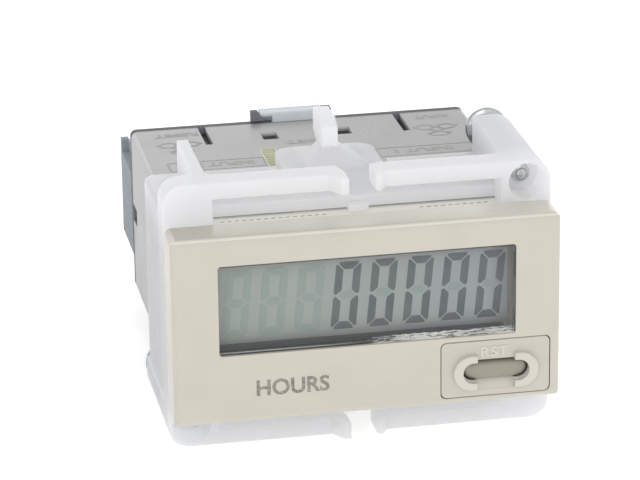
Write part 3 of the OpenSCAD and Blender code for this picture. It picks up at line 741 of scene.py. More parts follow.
@dataclass(frozen=True)
class ClearPlastic(Finish):
    """Clear sheet: light goes straight through, and the surface mirrors as its angle asks."""

    tint: Colour = (0.97, 0.98, 0.98)
    rough: float = 0.03
    ior: float = 1.45
    # rim: heights above which the sheet turns to painted shade
    rim: Pair = (100.0, 101.0)
    rim_shade: Colour = (0.1, 0.085, 0.09)
    mirror: Colour = (0.9, 0.9, 0.9)

    def shader(self, g: Graph) -> Sock:
        """Transparent mixed with gloss by Fresnel, and painted shade above the rim's heights.

        Args:
            g: The material's graph.

        Returns:
            The shader.
        """
        haze = g.noise(9.0, 2.0)
        sockets = {
            "Base Color": self.mirror,
            "Metallic": 1.0,
            "Roughness": self.rough + haze * 0.03,
            "Normal": g.bump(haze, 0.01, None, 0.4),
        }
        fresnel = g.node("ShaderNodeFresnel", None, {"IOR": self.ior})[0]
        sheet = g.mixed(fresnel * 0.7, g.clear(self.tint), g.principled(sockets))
        dark = g.node("ShaderNodeBsdfDiffuse", None, {"Color": self.rim_shade})[0]
        return g.mixed(g.axes()[2].step(*self.rim) * 0.75, sheet, dark)


@dataclass(frozen=True)
class TintedPlastic(Finish):
    """Smoky clear plastic of the terminal cover: bluish, glossy, half see-through."""

    colour: Colour = (0.5, 0.55, 0.6)
    cover: float = 0.7
    rough: float = 0.16
    cheek: Colour = (0.36, 0.4, 0.44)
    cheek_x: Pair = (21.2, 21.5)
    # glow: emission, painted light on the cover, most on faces towards the front
    glow: float = 0.19
    painted_light_rear: Colour = (0.15, 0.16, 0.18)
    painted_light_front: Colour = (0.93, 0.97, 1.0)

    def shader(self, g: Graph) -> Sock:
        """Principled plastic, denser along its edges, with painted light by emission that is strongest
        where it faces the front.

        Past the cheek's distance from the middle it is mixed with a darker, matt shade.

        Args:
            g: The material's graph.

        Returns:
            The shader.
        """
        normal = g.soft_normal(0.2)
        flow = g.noise(5.0, 2.0)
        edge = g.edges(normal)
        front = (g.facing()[1] * -1.0).step(0.3, 0.8)
        glossy = {
            "Base Color": g.blend((flow - 0.3) * 1.2, self.colour, shaded(self.colour, 0.85)),
            "Roughness": self.rough + flow * 0.06,
            "Alpha": self.cover + edge * (1.0 - self.cover) * 0.7,
            "Emission Color": g.blend(front, self.painted_light_rear, self.painted_light_front),
            "Emission Strength": self.glow,
            "Specular IOR Level": 0.6,
            "Normal": g.bump(flow, 0.02, normal),
        }
        matt = {
            "Base Color": g.blend((flow - 0.3) * 1.5, self.cheek, shaded(self.cheek, 0.8)),
            "Roughness": 0.6 + flow * 0.1,
            "Alpha": 0.9 + edge * 0.1,
            "Specular IOR Level": 0.08,
        }
        return g.mixed(abs(g.axes()[0]).step(*self.cheek_x), g.principled(glossy), g.principled(matt))


class Lay(Enum):
    """Direction of a metal's fine marks, as the scale of their noise along X, Y and Z."""

    TURNED = (1.0, 14.0, 1.0)
    ROLLED = (1.0, 1.0, 12.0)


@dataclass(frozen=True)
class PlatedMetal(Finish):
    """Plated steel or sheet metal: fine marks, faint clouds in the plating and bright edges."""

    colour: Colour = (0.66, 0.66, 0.65)
    rough: float = 0.26
    lay: Lay = Lay.TURNED
    edge: Colour = (0.9, 0.9, 0.88)

    def marked(self, g: Graph, base: Sock) -> Sock:
        """The colour with the marks of a certain piece on it; none here."""
        return base

    def shader(self, g: Graph) -> Sock:
        """Metal whose marks are noise drawn out along the lay, and whose clouds are wide noise.

        Args:
            g: The material's graph.

        Returns:
            The shader.
        """
        normal = g.soft_normal(0.05)
        marks = g.noise(1.6, 3.0, 0.6, g.stretched(self.lay.value))
        cloud = g.noise(1.3, 3.0)
        clouded = g.blend((cloud - 0.3) * 1.4, self.colour, shaded(self.colour, 0.6))
        sockets = {
            "Base Color": g.blend(g.edges(normal) * 0.4, self.marked(g, clouded), self.edge),
            "Metallic": 0.9 + cloud * 0.1,
            "Roughness": self.rough + (marks - 0.5) * 0.2 + (cloud - 0.5) * 0.12,
            "Normal": g.bump(marks, 0.006, normal),
        }
        return g.principled(sockets)


@dataclass(frozen=True)
class ScrewMetal(PlatedMetal):
    """Plated steel of a screw: a painted reflection on the dome, and a ring of painted shade on the tip."""

    axis: Pair = (21.1, 14.3)
    # a ring of painted shade round the axis, on the screw's tip
    ring_shade_start: Pair = (0.58, 0.66)
    ring_shade_end: Pair = (0.72, 0.82)
    ring_shade: Colour = (0.16, 0.16, 0.15)
    shaft_y: float = 21.4
    # painted reflection: colours of a room, picked by the facing angle
    painted_reflection_tones: tuple[tuple[float, Colour], ...] = (
        (0.0, (1.0, 1.0, 1.0)),
        (0.3, (0.7, 0.71, 0.72)),
        (0.5, (0.35, 0.37, 0.39)),
        (0.72, (0.95, 0.97, 1.0)),
        (1.0, (0.4, 0.42, 0.44)),
    )

    def marked(self, g: Graph, base: Sock) -> Sock:
        """A painted reflection on the head, a ramp over the facing angle, and a ring of painted shade round
        the axis on the shaft.

        Args:
            g: The material's graph.
            base: The colour so far.

        Returns:
            The marked colour.
        """
        x, y, z = g.axes()
        angle = g.node("ShaderNodeLayerWeight", None, {"Blend": 0.5})["Facing"]
        ramp = g.node("ShaderNodeValToRGB", {"stops": self.painted_reflection_tones}, {"Fac": angle})["Color"]
        radius = ((abs(x) - self.axis[0]) ** 2.0 + (abs(z) - self.axis[1]) ** 2.0) ** 0.5
        ring = radius.step(*self.ring_shade_start) * radius.step(*self.ring_shade_end, 1.0, 0.0)
        shaft = y.step(self.shaft_y - 0.05, self.shaft_y, 1.0, 0.0)
        painted_reflection = g.blend(1.0, base, ramp, "MULTIPLY")
        return g.layered(base, ((1.0 - shaft) * 0.75, painted_reflection), (ring * shaft * 0.6, self.ring_shade))


@dataclass(frozen=True)
class DisplayFilm(Finish):
    """Grey-green film of the display, with painted light that makes it lighter and greener to the left, and
    painted shade along its edges.
    """

    # left and right: painted light across X, lighter to the left
    left: Colour = (0.4, 0.45, 0.43)
    right: Colour = (0.28, 0.3, 0.3)
    span_x: Pair = (-18.0, 22.5)
    # lower, upper and end colours: painted shade along the edges
    lower_shade_z: Pair = (-3.0, -1.768)
    lower: Colour = (0.16, 0.17, 0.175)
    upper_shade_z: Pair = (6.3, 7.3)
    upper: Colour = (0.19, 0.18, 0.19)
    end_shade_x: Pair = (15.2, 17.2)
    end: Colour = (0.18, 0.165, 0.15)
    cloud: Colour = (0.6, 0.65, 0.63)
    sparkle: Colour = (0.28, 0.3, 0.3)

    def field(self, g: Graph) -> Sock:
        """The two colours mixed along X."""
        return g.blend(g.axes()[0].step(*self.span_x), self.left, self.right)

    def shader(self, g: Graph) -> Sock:
        """The field, with painted shade towards the lower, upper and right edge, and a fine sparkle.

        Args:
            g: The material's graph.

        Returns:
            The shader.
        """
        x, _, z = g.axes()
        grain = g.noise(0.09, 1.0)
        cloud = g.noise(9.0, 2.0)
        base = g.layered(
            self.field(g),
            (z.step(*self.lower_shade_z, 1.0, 0.0) * 0.3, self.lower),
            (z.step(*self.upper_shade_z) * 0.4, self.upper),
            (x.step(*self.end_shade_x) * 0.2, self.end),
            ((cloud - 0.45) * 0.35, self.cloud),
            ((grain - 0.5) * 0.25, self.sparkle),
        )
        sockets = {
            "Base Color": base,
            "Roughness": 0.42 + (grain - 0.5) * 0.2,
            "Specular IOR Level": 0.35,
            "Normal": g.bump(grain, 0.002),
        }
        return g.principled(sockets)


@dataclass(frozen=True)
class SegmentShade(Finish):
    """A display segment: darkened film, a trace uneven as the field in the liquid is."""

    colour: Colour = (0.1, 0.12, 0.12)
    share: float = 1.0

    def shader(self, g: Graph) -> Sock:
        """The film's field mixed with the segment's colour by share, wavering with wide noise.

        Args:
            g: The material's graph.

        Returns:
            The shader.
        """
        cloud = g.noise(3.0, 2.0)
        sockets = {
            "Base Color": g.blend(self.share * (0.9 + (cloud - 0.5) * 0.3), FILM.field(g), self.colour),
            "Roughness": 0.4 + (cloud - 0.5) * 0.1,
            "Specular IOR Level": 0.3,
        }
        return g.principled(sockets)


@dataclass(frozen=True)
class SparkleEdge(Finish):
    """Cut edge of the window: dark at the left, broken bright facets towards the right, painted highlights
    where the edge refracts light.
    """

    dark: Colour = (0.05, 0.05, 0.055)
    # bright: painted highlight on the lit facets
    bright: Colour = (0.86, 0.85, 0.8)
    painted_glint: Colour = (1.0, 0.99, 0.94)
    # glow: emission on the bright facets, a painted highlight
    glow: float = 0.17
    line_front: Pair = (-4.3, -4.2)
    line_rear: Pair = (-4.0, -3.9)
    line_x: Pair = (-8.0, 2.0)
    highlight_line_share: float = 0.7
    lively_x: Pair = (-6.0, 5.0)
    bias: Pair = (-0.3, 0.02)
    cut: Pair = (0.46, 0.51)

    def shader(self, g: Graph) -> Sock:
        """Painted highlights: bright facets among dark ones, which streaked noise picks.

        More of them are bright as X grows, and a thin bright line of painted highlight runs along the left.

        Args:
            g: The material's graph.

        Returns:
            The shader.
        """
        x, y, _ = g.axes()
        streaks = g.noise(0.4, 5.0, 0.75, g.stretched((0.2, 1.8, 1.8)))
        line = y.step(*self.line_front) * y.step(*self.line_rear, 1.0, 0.0)
        line = line * x.step(*self.line_x, self.highlight_line_share, 0.0)
        lit = (streaks + x.step(*self.lively_x, *self.bias)).step(*self.cut).greatest(line)
        sockets = {
            "Base Color": g.blend(lit, self.dark, self.bright),
            "Emission Color": g.blend(lit, BLACK, self.painted_glint),
            "Emission Strength": self.glow,
            "Roughness": 0.15 + (1.0 - lit) * 0.2,
            "Specular IOR Level": 0.7,
            "Normal": g.bump(streaks, 0.08),
        }
        return g.principled(sockets)


@dataclass(frozen=True)
class PrintInk(Finish):
    """Pad-printed ink: thin, matt, with pinholes where the base shows."""

    ink: Colour = (0.2, 0.2, 0.2)
    base: Colour = (0.5, 0.5, 0.5)
    cover: float = 0.85

    def shader(self, g: Graph) -> Sock:
        """Ink over the base colour, thinned by fine noise.

        Args:
            g: The material's graph.

        Returns:
            The shader.
        """
        holes = g.noise(0.22, 2.0)
        body = g.noise(2.5, 2.0)
        share = holes.step(0.25, 0.5) * self.cover * (0.85 + (body - 0.5) * 0.5)
        sockets = {
            "Base Color": g.blend(share, self.base, self.ink),
            "Roughness": 0.55 + (holes - 0.5) * 0.15,
            "Normal": g.bump(holes, 0.004),
        }
        return g.principled(sockets)


@dataclass(frozen=True)
class BoardLaminate(Finish):
    """Circuit board: solder mask with copper tracks under it and the weave of the glass cloth."""

    mask: Colour = srgb(28, 92, 58)
    track: Colour = srgb(60, 130, 80)
    cloth: Colour = srgb(16, 60, 40)

    def shader(self, g: Graph) -> Sock:
        """Tracks are a thresholded grid bent by noise, the weave a product of two fine waves.

        Args:
            g: The material's graph.

        Returns:
            The shader.
        """
        x, _, z = g.axes()
        bend = g.noise(4.0, 1.0)
        tracks = (((x + bend * 1.6) * 3.9).sine() * ((z + bend * 2.2) * 2.6).sine()).step(0.15, 0.3)
        weave = (x * 9.0).sine() * (z * 9.0).sine()
        woven = weave.step(-1.0, 1.0) * 0.15
        sockets = {
            "Base Color": g.layered(self.mask, (tracks * 0.5, self.track), (woven, self.cloth)),
            "Roughness": 0.3 + (1.0 - tracks) * 0.1,
            "Normal": g.bump(tracks * 0.8 + weave * 0.1, 0.03),
        }
        return g.principled(sockets)


@dataclass(frozen=True)
class CeramicChips(Finish):
    """Small chip parts: tan or grey bodies with tinned ends."""

    pitch: float = 1.6
    tin: Colour = srgb(190, 190, 186)
    tan: Colour = srgb(168, 142, 108)
    grey: Colour = srgb(70, 68, 66)

    def shader(self, g: Graph) -> Sock:
        """The ends are stripes along X at the parts' pitch, and the body's colour changes with noise.

        Args:
            g: The material's graph.

        Returns:
            The shader.
        """
        stripe = abs((g.axes()[0] * (math.pi / self.pitch)).sine()).step(0.35, 0.6)
        body = g.blend(g.noise(5.0, 0.0).above(0.5), self.tan, self.grey)
        fine = g.noise(0.3, 2.0)
        sockets = {
            "Base Color": g.blend(stripe, self.tin, body),
            "Roughness": 0.35 + (fine - 0.5) * 0.2,
            "Normal": g.bump(fine, 0.01, g.soft_normal(0.1)),
        }
        return g.principled(sockets)


@dataclass(frozen=True)
class StudioFloor(Finish):
    """Pale floor that shows as white and keeps the soft shadow of the object."""

    pale: Colour = (0.9, 0.9, 0.9)
    stain: Colour = (0.85, 0.85, 0.87)
    unseen: Colour = (0.78, 0.78, 0.78)
    glow: float = 0.45

    def shader(self, g: Graph) -> Sock:
        """White matt surface that glows as a light table does.

        It glows a little more where it is seen, and from below it is clear.

        Args:
            g: The material's graph.

        Returns:
            The shader.
        """
        sockets = {
            "Base Color": g.blend(g.noise(400.0, 1.0) * 0.04, self.pale, self.stain),
            "Roughness": 1.0,
            "Specular IOR Level": 0.0,
            "Emission Color": g.blend(g.seen(), self.unseen, WHITE),
            "Emission Strength": self.glow,
        }
        back = g.node("ShaderNodeNewGeometry")["Backfacing"]
        return g.mixed(back, g.principled(sockets), g.clear())


BEZEL = srgb(208, 203, 190)
CASE_TOP = srgb(178, 179, 177)
BEZEL_PLASTIC = CasePlastic(
    "bezel_plastic", BEZEL, rear_colour=CASE_TOP, rough=0.3, mottle=0.02, edge=0.12, specular=0.5
)
GUARD_PLASTIC = SurroundPlastic("guard_plastic", srgb(206, 201, 190), mottle=0.02)
# a lighter copy of the guard's plastic: painted light on the raised letters
LETTER_PLASTIC = MouldedPlastic("letter_plastic", srgb(216, 211, 202), mottle=0.01, edge=0.05)
# painted shade on the key past y -4.2, deeper in its hole
KEY_PLASTIC = KeyPlastic(
    "key_plastic", srgb(160, 156, 142), rough=0.3, mottle=0.03, gap_axis=1, gap_span=(-4.2, -3.8)
)
DARK_PLASTIC = BlockPlastic("dark_plastic", srgb(54, 56, 63), rough=0.45, edge_light=0.02, specular=0.25)
# painted light on the frame's right wall, past x 17.2
FRAME_PLASTIC = GapPlastic(
    "frame_plastic",
    srgb(98, 98, 102),
    rough=0.35,
    edge_light=0.05,
    painted_gap_tone=srgb(188, 181, 171),
    gap_axis=0,
    gap_span=(17.2, 17.8),
)
CHIP_PLASTIC = MouldedPlastic("chip_plastic", srgb(34, 34, 36), rough=0.5, edge_light=0.15)
SWITCH_PLASTIC = MouldedPlastic("switch_plastic", srgb(44, 44, 47), rough=0.4, edge_light=0.15)
PLUNGER_PLASTIC = MouldedPlastic("plunger_plastic", srgb(220, 215, 200), rough=0.35)
TRAY_PLASTIC = MouldedPlastic("tray_plastic", srgb(226, 226, 220), rough=0.5)
SILICONE = MouldedPlastic("silicone", srgb(214, 186, 158), rough=0.7, specular=0.2)
BRACKET_NYLON = Nylon("bracket_nylon", srgb(226, 226, 228))
COVER_PLASTIC = TintedPlastic("cover_plastic", srgb(212, 219, 226), 0.92, 0.08)
# painted shade along the window's top edge, above z 8.07
WINDOW_PLASTIC = ClearPlastic("window_plastic", rim=(8.07, 8.13))
CELL_GLASS = ClearPlastic("cell_glass", (0.8, 0.86, 0.82), 0.02, 1.5)
ZINC = PlatedMetal("zinc", srgb(190, 190, 187))
CLAMP_ZINC = ScrewMetal("clamp_zinc", srgb(206, 209, 210), 0.2)
NICKEL = PlatedMetal("nickel", srgb(214, 210, 196), 0.3, Lay.ROLLED)
CELL_STEEL = PlatedMetal("cell_steel", srgb(210, 211, 212), 0.34)
REFLECTOR = MouldedPlastic("reflector", srgb(198, 204, 198), rough=0.3, edge_light=0.0)
FILM = DisplayFilm("display_film", srgb(192, 196, 189), srgb(180, 184, 186))
FRONT_INK = PrintInk("front_ink", srgb(110, 106, 102), BEZEL, 0.95)
TOP_INK = PrintInk("top_ink", srgb(134, 134, 131), CASE_TOP, 0.78)
SIGN_INK = PrintInk("battery_sign", srgb(90, 90, 92), srgb(180, 180, 182))
LIT_SHADE = SegmentShade("lit_shade", srgb(102, 107, 110), 1.0)
IDLE_SHADE = SegmentShade("idle_shade", srgb(150, 176, 169), 0.46)


# Geometry


def facets(rows: int, columns: int, loop_rows: bool, loop_columns: bool) -> Array:
    """Quads of a grid of points.

    Cell (i, j) joins points i and i + 1 with j and j + 1, and a looped side wraps round to its start.

    Args:
        rows: Points down the grid.
        columns: Points across the grid.
        loop_rows: True if the last row joins the first.
        loop_columns: True if the last column joins the first.

    Returns:
        One row of four point numbers for each quad.
    """
    i = np.arange(rows if loop_rows else rows - 1)[:, None]
    j = np.arange(columns if loop_columns else columns - 1)[None, :]
    i1, j1 = (i + 1) % rows, (j + 1) % columns
    parts = np.broadcast_arrays(i * columns + j, i1 * columns + j, i1 * columns + j1, i * columns + j1)
    return np.stack(parts, axis=-1).reshape(-1, 4)


@dataclass
class Shell:
    """Patches that make up one piece, in millimetres."""

    name: str
    points: list[Array] = field(default_factory=list)
    faces: list[list[int]] = field(default_factory=list)
    count: int = 0

    def patch(
        self,
        grid: Array,
        loop_rows: bool = False,
        loop_columns: bool = False,
        caps: Sequence[Sequence[int]] = (),
    ) -> "Shell":
        """Adds a grid of points as quads.

        Args:
            grid: Points as rows by columns by 3.
            loop_rows: True if the last row joins the first.
            loop_columns: True if the last column joins the first.
            caps: Faces that close the first and the last row, as point numbers in a row.

        Returns:
            The shell.
        """
        rows, columns = grid.shape[:2]
        quads = facets(rows, columns, loop_rows, loop_columns) + self.count
        self.faces += quads.tolist()
        for cap in caps:
            first = np.array(cap) + self.count
            self.faces += [first[::-1].tolist(), (first + (rows - 1) * columns).tolist()]
        self.points.append(grid.reshape(-1, 3))
        self.count += rows * columns
        return self

    def piece(self, body: str, slot: str, finish: Finish, smooth: float = 35.0) -> bpy.types.Object:
        """Makes the mesh and puts it on its body.

        Args:
            body: The body that it rides on.
            slot: The record's material slot; not used.
            finish: Its finish.
            smooth: Edges flatter than this angle in degrees are shaded smooth.

        Returns:
            The object.
        """
        mesh = bpy.data.meshes.new(self.name)
        mesh.from_pydata((np.concatenate(self.points) * MM).tolist(), [], self.faces)
        return settle(mesh, self.name, body, finish, smooth)


def settle(
    mesh: bpy.types.Mesh, name: str, body: str, finish: Finish, smooth: float = 35.0
) -> bpy.types.Object:
    """Merges a mesh's doubles, turns its faces outwards and makes it a piece.

    Args:
        mesh: The mesh, with its place in its points.
        name: The piece's name.
        body: The body that it rides on.
        finish: Its finish.
        smooth: Edges flatter than this angle in degrees are shaded smooth.

    Returns:
        The object, at the origin.
    """
    work = bmesh.new()
    work.from_mesh(mesh)
    bmesh.ops.remove_doubles(work, verts=work.verts, dist=1e-7)
    bmesh.ops.recalc_face_normals(work, faces=work.faces)
    work.to_mesh(mesh)
    work.free()
    mesh.shade_smooth()
    mesh.set_sharp_from_angle(angle=math.radians(smooth))
    piece = bpy.data.objects.new(name, mesh)
    bpy.context.scene.collection.objects.link(piece)
    finish.dress(piece)
    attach(piece, body)
    LOG.info("%s: %d faces on %s", name, len(mesh.polygons), body)
    return piece


def carried(path: Array, side: Array, up: Array, section: Array) -> Array:
    """A section carried along a path.

    Each point is the path's point plus the section's first number along side and its second along up.

    Args:
        path: Points, n by 3.
        side: One direction for all, or n by 3.
        up: One direction for all, or n by 3.
        section: Points of the section, m by 2.

    Returns:
        Grid of n by m by 3.
    """
    side = np.broadcast_to(side, path.shape)[:, None, :]
    up = np.broadcast_to(up, path.shape)[:, None, :]
    return path[:, None, :] + section[None, :, :1] * side + section[None, :, 1:] * up


def ribbon(shell: Shell, path: Array, height: float, width: float, thick: float) -> None:
    """Adds a flat printed line on a level surface.

    The line's side is its tangent turned a quarter, and a thin rectangle is carried along it.

    Args:
        shell: Shell to add to.
        path: Points in plan, n by 2.
        height: Height of the surface.
        width: Width of the line.
        thick: Thickness of the ink. Half as much is sunk.
    """
    points = np.column_stack([path, np.full(len(path), height)])
    run = np.gradient(path, axis=0)
    run /= np.maximum(np.linalg.norm(run, axis=1, keepdims=True), 1e-9)
    side = np.column_stack([-run[:, 1], run[:, 0], np.zeros(len(path))])
    half, sunk = width / 2, -thick / 2
    section = np.array([[-half, sunk], [half, sunk], [half, thick], [-half, thick]])
    grid = carried(points, side, np.array([0.0, 0.0, 1.0]), section)
    shell.patch(grid, loop_columns=True, caps=[(0, 1, 2, 3)])


@dataclass(frozen=True)
class Stand:
    """Where words stand, in millimetres: their middle, and the way of their lines and of their height."""

    middle: Vec
    along: Vec
    up: Vec


@dataclass(frozen=True)
class Relief:
    """How words stand on their surface: their size, their height above it and their depth in it.

    Bold is how far the strokes grow at each side, as a share of the letters' size.
    """

    width: float
    height: float
    thick: float
    sunk: float
    bold: float = 0.025


def words(name: str, text: str, stand: Stand, relief: Relief) -> bpy.types.Mesh:
    """Mesh of raised or printed words.

    The letters are scaled to their width and height. Then each point is the stand's middle plus its x
    along, its y up and its z outwards.

    Args:
        name: Name of the mesh.
        text: The words.
        stand: Their place and directions.
        relief: Their size and depth.

    Returns:
        The mesh, in metres.
    """
    curve = bpy.data.curves.new(name, "FONT")
    curve.body = text
    curve.size = 1.0
    curve.extrude = 0.05
    curve.resolution_u = 4
    curve.offset = relief.bold
    holder = bpy.data.objects.new(name, curve)
    bpy.context.scene.collection.objects.link(holder)
    seen = holder.evaluated_get(bpy.context.evaluated_depsgraph_get())
    mesh = bpy.data.meshes.new_from_object(seen)
    bpy.data.objects.remove(holder)
    flat = np.zeros(len(mesh.vertices) * 3)
    mesh.vertices.foreach_get("co", flat)
    flat = flat.reshape(-1, 3)
    low, high = flat.min(0), flat.max(0)
    unit = (flat - (low + high) / 2) / (high - low)
    along, up = np.array(stand.along), np.array(stand.up)
    out = np.cross(along, up)
    rise = (unit[:, 2:] + 0.5) * (relief.thick + relief.sunk) - relief.sunk
    placed = np.array(stand.middle) + unit[:, :1] * relief.width * along
    placed = placed + unit[:, 1:2] * relief.height * up + rise * out
    mesh.vertices.foreach_set("co", (placed * MM).ravel())
    mesh.update()
    return mesh


def joined(name: str, meshes: Sequence[bpy.types.Mesh]) -> bpy.types.Mesh:
    """One mesh of several.

    Args:
        name: Its name.
        meshes: The meshes.

    Returns:
        The joined mesh.
    """
    work = bmesh.new()
    for mesh in meshes:
        work.from_mesh(mesh)
    whole = bpy.data.meshes.new(name)
    work.to_mesh(whole)
    work.free()
    return whole


# Pieces


@dataclass
class PanScrew:
    """Pan-head screw with a cross recess and a rolled thread, along Y from its tip to its head.

    Names that end in share are shares of the thread's or the head's size.
    """

    x: float
    z: float
    tip_y: float
    head_y: float
    thread_d: float = 3.0
    pitch: float = 0.5
    head_d: float = 5.4
    head_h: float = 2.2
    turn: float = 0.6
    around: int = 48
    depth_share: float = 0.13
    tip_share: float = 0.62
    crest_gain: float = 1.5
    root_flat: float = 0.1
    rim_share: float = 0.3
    crown_power: float = 0.8
    rim_break: float = 0.1
    slot_half_share: float = 0.072
    slot_reach_share: float = 0.3
    slot_depth_share: float = 0.5
    slot_wall: float = 0.08
    slot_end: float = 0.35

    def thread(self, y: Array, angle: Array) -> Array:
        """Radius of the thread.

        A triangle wave of the height over the pitch less the turn, cut flat at core and crest. The tip is a
        chamfer: its radius grows with the height to the full one.

        Args:
            y: Heights above the tip, n by 1.
            angle: Angles in radians, 1 by m.

        Returns:
            Radii, n by m.
        """
        phase = y / self.pitch - angle / (2 * math.pi)
        wave = 1.0 - abs(2.0 * (phase - np.floor(phase)) - 1.0)
        wave = np.clip(wave * self.crest_gain - self.root_flat, 0.0, 1.0)
        depth = self.thread_d * self.depth_share
        core = self.thread_d / 2 - depth
        return (core + wave * depth) * np.minimum(1.0, self.tip_share + y)

    def recess(self, a: Array, b: Array) -> Array:
        """Depth of the cross recess at a point of the head.

        Two crossed slots, each a smooth trough that is deepest in the middle of the head.

        Args:
            a: Place along one slot.
            b: Place along the other.

        Returns:
            Depths.
        """
        half = self.head_d * self.slot_half_share
        reach = self.head_d * self.slot_reach_share
        slots = []
        for along, across in ((a, b), (b, a)):
            wall = np.clip((half - abs(across)) / self.slot_wall, 0, 1)
            slots.append(wall * np.clip((reach - abs(along)) / self.slot_end, 0, 1))
        return np.maximum(*slots) * self.head_h * self.slot_depth_share

    def grid(self) -> Array:
        """Points of the screw, from the tip's pole to the head's pole.

        Each row is a circle whose height and radius follow the thread, then the head's profile. The crown
        is a quarter of an ellipse, a little squared by a power of its sine and cosine.

        Returns:
            Grid of heights by angles by 3.
        """
        angle = np.linspace(0, 2 * math.pi, self.around, endpoint=False)[None, :]
        length = self.head_y - self.tip_y
        run = np.linspace(0, length, max(8, int(length / self.pitch * 9)))[:, None]
        shaft_r = self.thread(run, angle)
        shaft_y = np.broadcast_to(run, shaft_r.shape)
        rim = self.head_h * self.rim_share
        head_r = self.head_d / 2
        bend = np.linspace(0, math.pi / 2, 60)
        crown_out = head_r * np.cos(bend) ** self.crown_power
        crown_up = rim + (self.head_h - rim) * np.sin(bend) ** self.crown_power
        edge = [[head_r - self.rim_break, 0.0], [head_r, self.rim_break]]
        profile = np.vstack([edge, np.column_stack([crown_out, crown_up])])
        crown_r = np.broadcast_to(profile[:, :1], (len(profile), self.around))
        a = crown_r * np.cos(angle + self.turn)
        b = crown_r * np.sin(angle + self.turn)
        crown_y = length + profile[:, 1:] - self.recess(a, b) * (profile[:, 1:] > rim)
        pole = np.zeros((1, self.around))
        radius = np.vstack([pole, shaft_r, crown_r])
        height = np.vstack([pole, shaft_y, crown_y])
        x, z = self.x + radius * np.cos(angle), self.z + radius * np.sin(angle)
        return np.stack([x, self.tip_y + height, z], axis=-1)

    def add(self, shell: Shell) -> Shell:
        """Adds the screw to a shell."""
        return shell.patch(self.grid(), loop_columns=True)


def dress_nodes(finishes: Mapping[str, Finish]) -> None:
    """Puts each finish on the solid of that name."""
    for node, finish in finishes.items():
        finish.dress(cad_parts[node])


@dataclass
class Bezel:
    """Bezel, case and key surround, with what is moulded or printed on the front."""

    front_y: float = -5.0
    key_word_at: Pair = (15.7, -5.35)
    key_relief: Relief = Relief(3.5, 1.35, 0.1, 0.1)
    front_word_at: Pair = (-9.4, -7.65)
    front_relief: Relief = Relief(9.0, 2.1, 0.03, 0.1)

    def word(self, name: str, text: str, at: Pair, relief: Relief, finish: Finish) -> bpy.types.Object:
        """A word on the front.

        Args:
            name: The piece's name.
            text: The word.
            at: X and Z of its middle.
            relief: Its size and depth.
            finish: Its finish.

        Returns:
            The piece.
        """
        stand = Stand((at[0], self.front_y, at[1]), (1, 0, 0), (0, 0, 1))
        return settle(words(name, text, stand, relief), name, "housing", finish)

    def build(self) -> None:
        """Dresses the solids, then makes the key's raised word and the printed one below the window."""
        dress_nodes({"case": BEZEL_PLASTIC, "key_surround": GUARD_PLASTIC, "reset_key": KEY_PLASTIC})
        self.word("key_word", "RST", self.key_word_at, self.key_relief, LETTER_PLASTIC)
        self.word("front_word", "HOURS", self.front_word_at, self.front_relief, FRONT_INK)


class EndCut(Enum):
    """How a segment ends.

    The first three numbers are its distances back from the corner inside, at the apex and outside, in
    millimetres. The last is the apex's place, a share of half the stroke towards the outer side.
    """

    MITRE = (0.475, -0.19, -0.225, 0.4)
    WAIST = (0.6, 0.0, 0.22, 0.4)
    POINT = (0.475, 0.0, 0.475, 0.0)


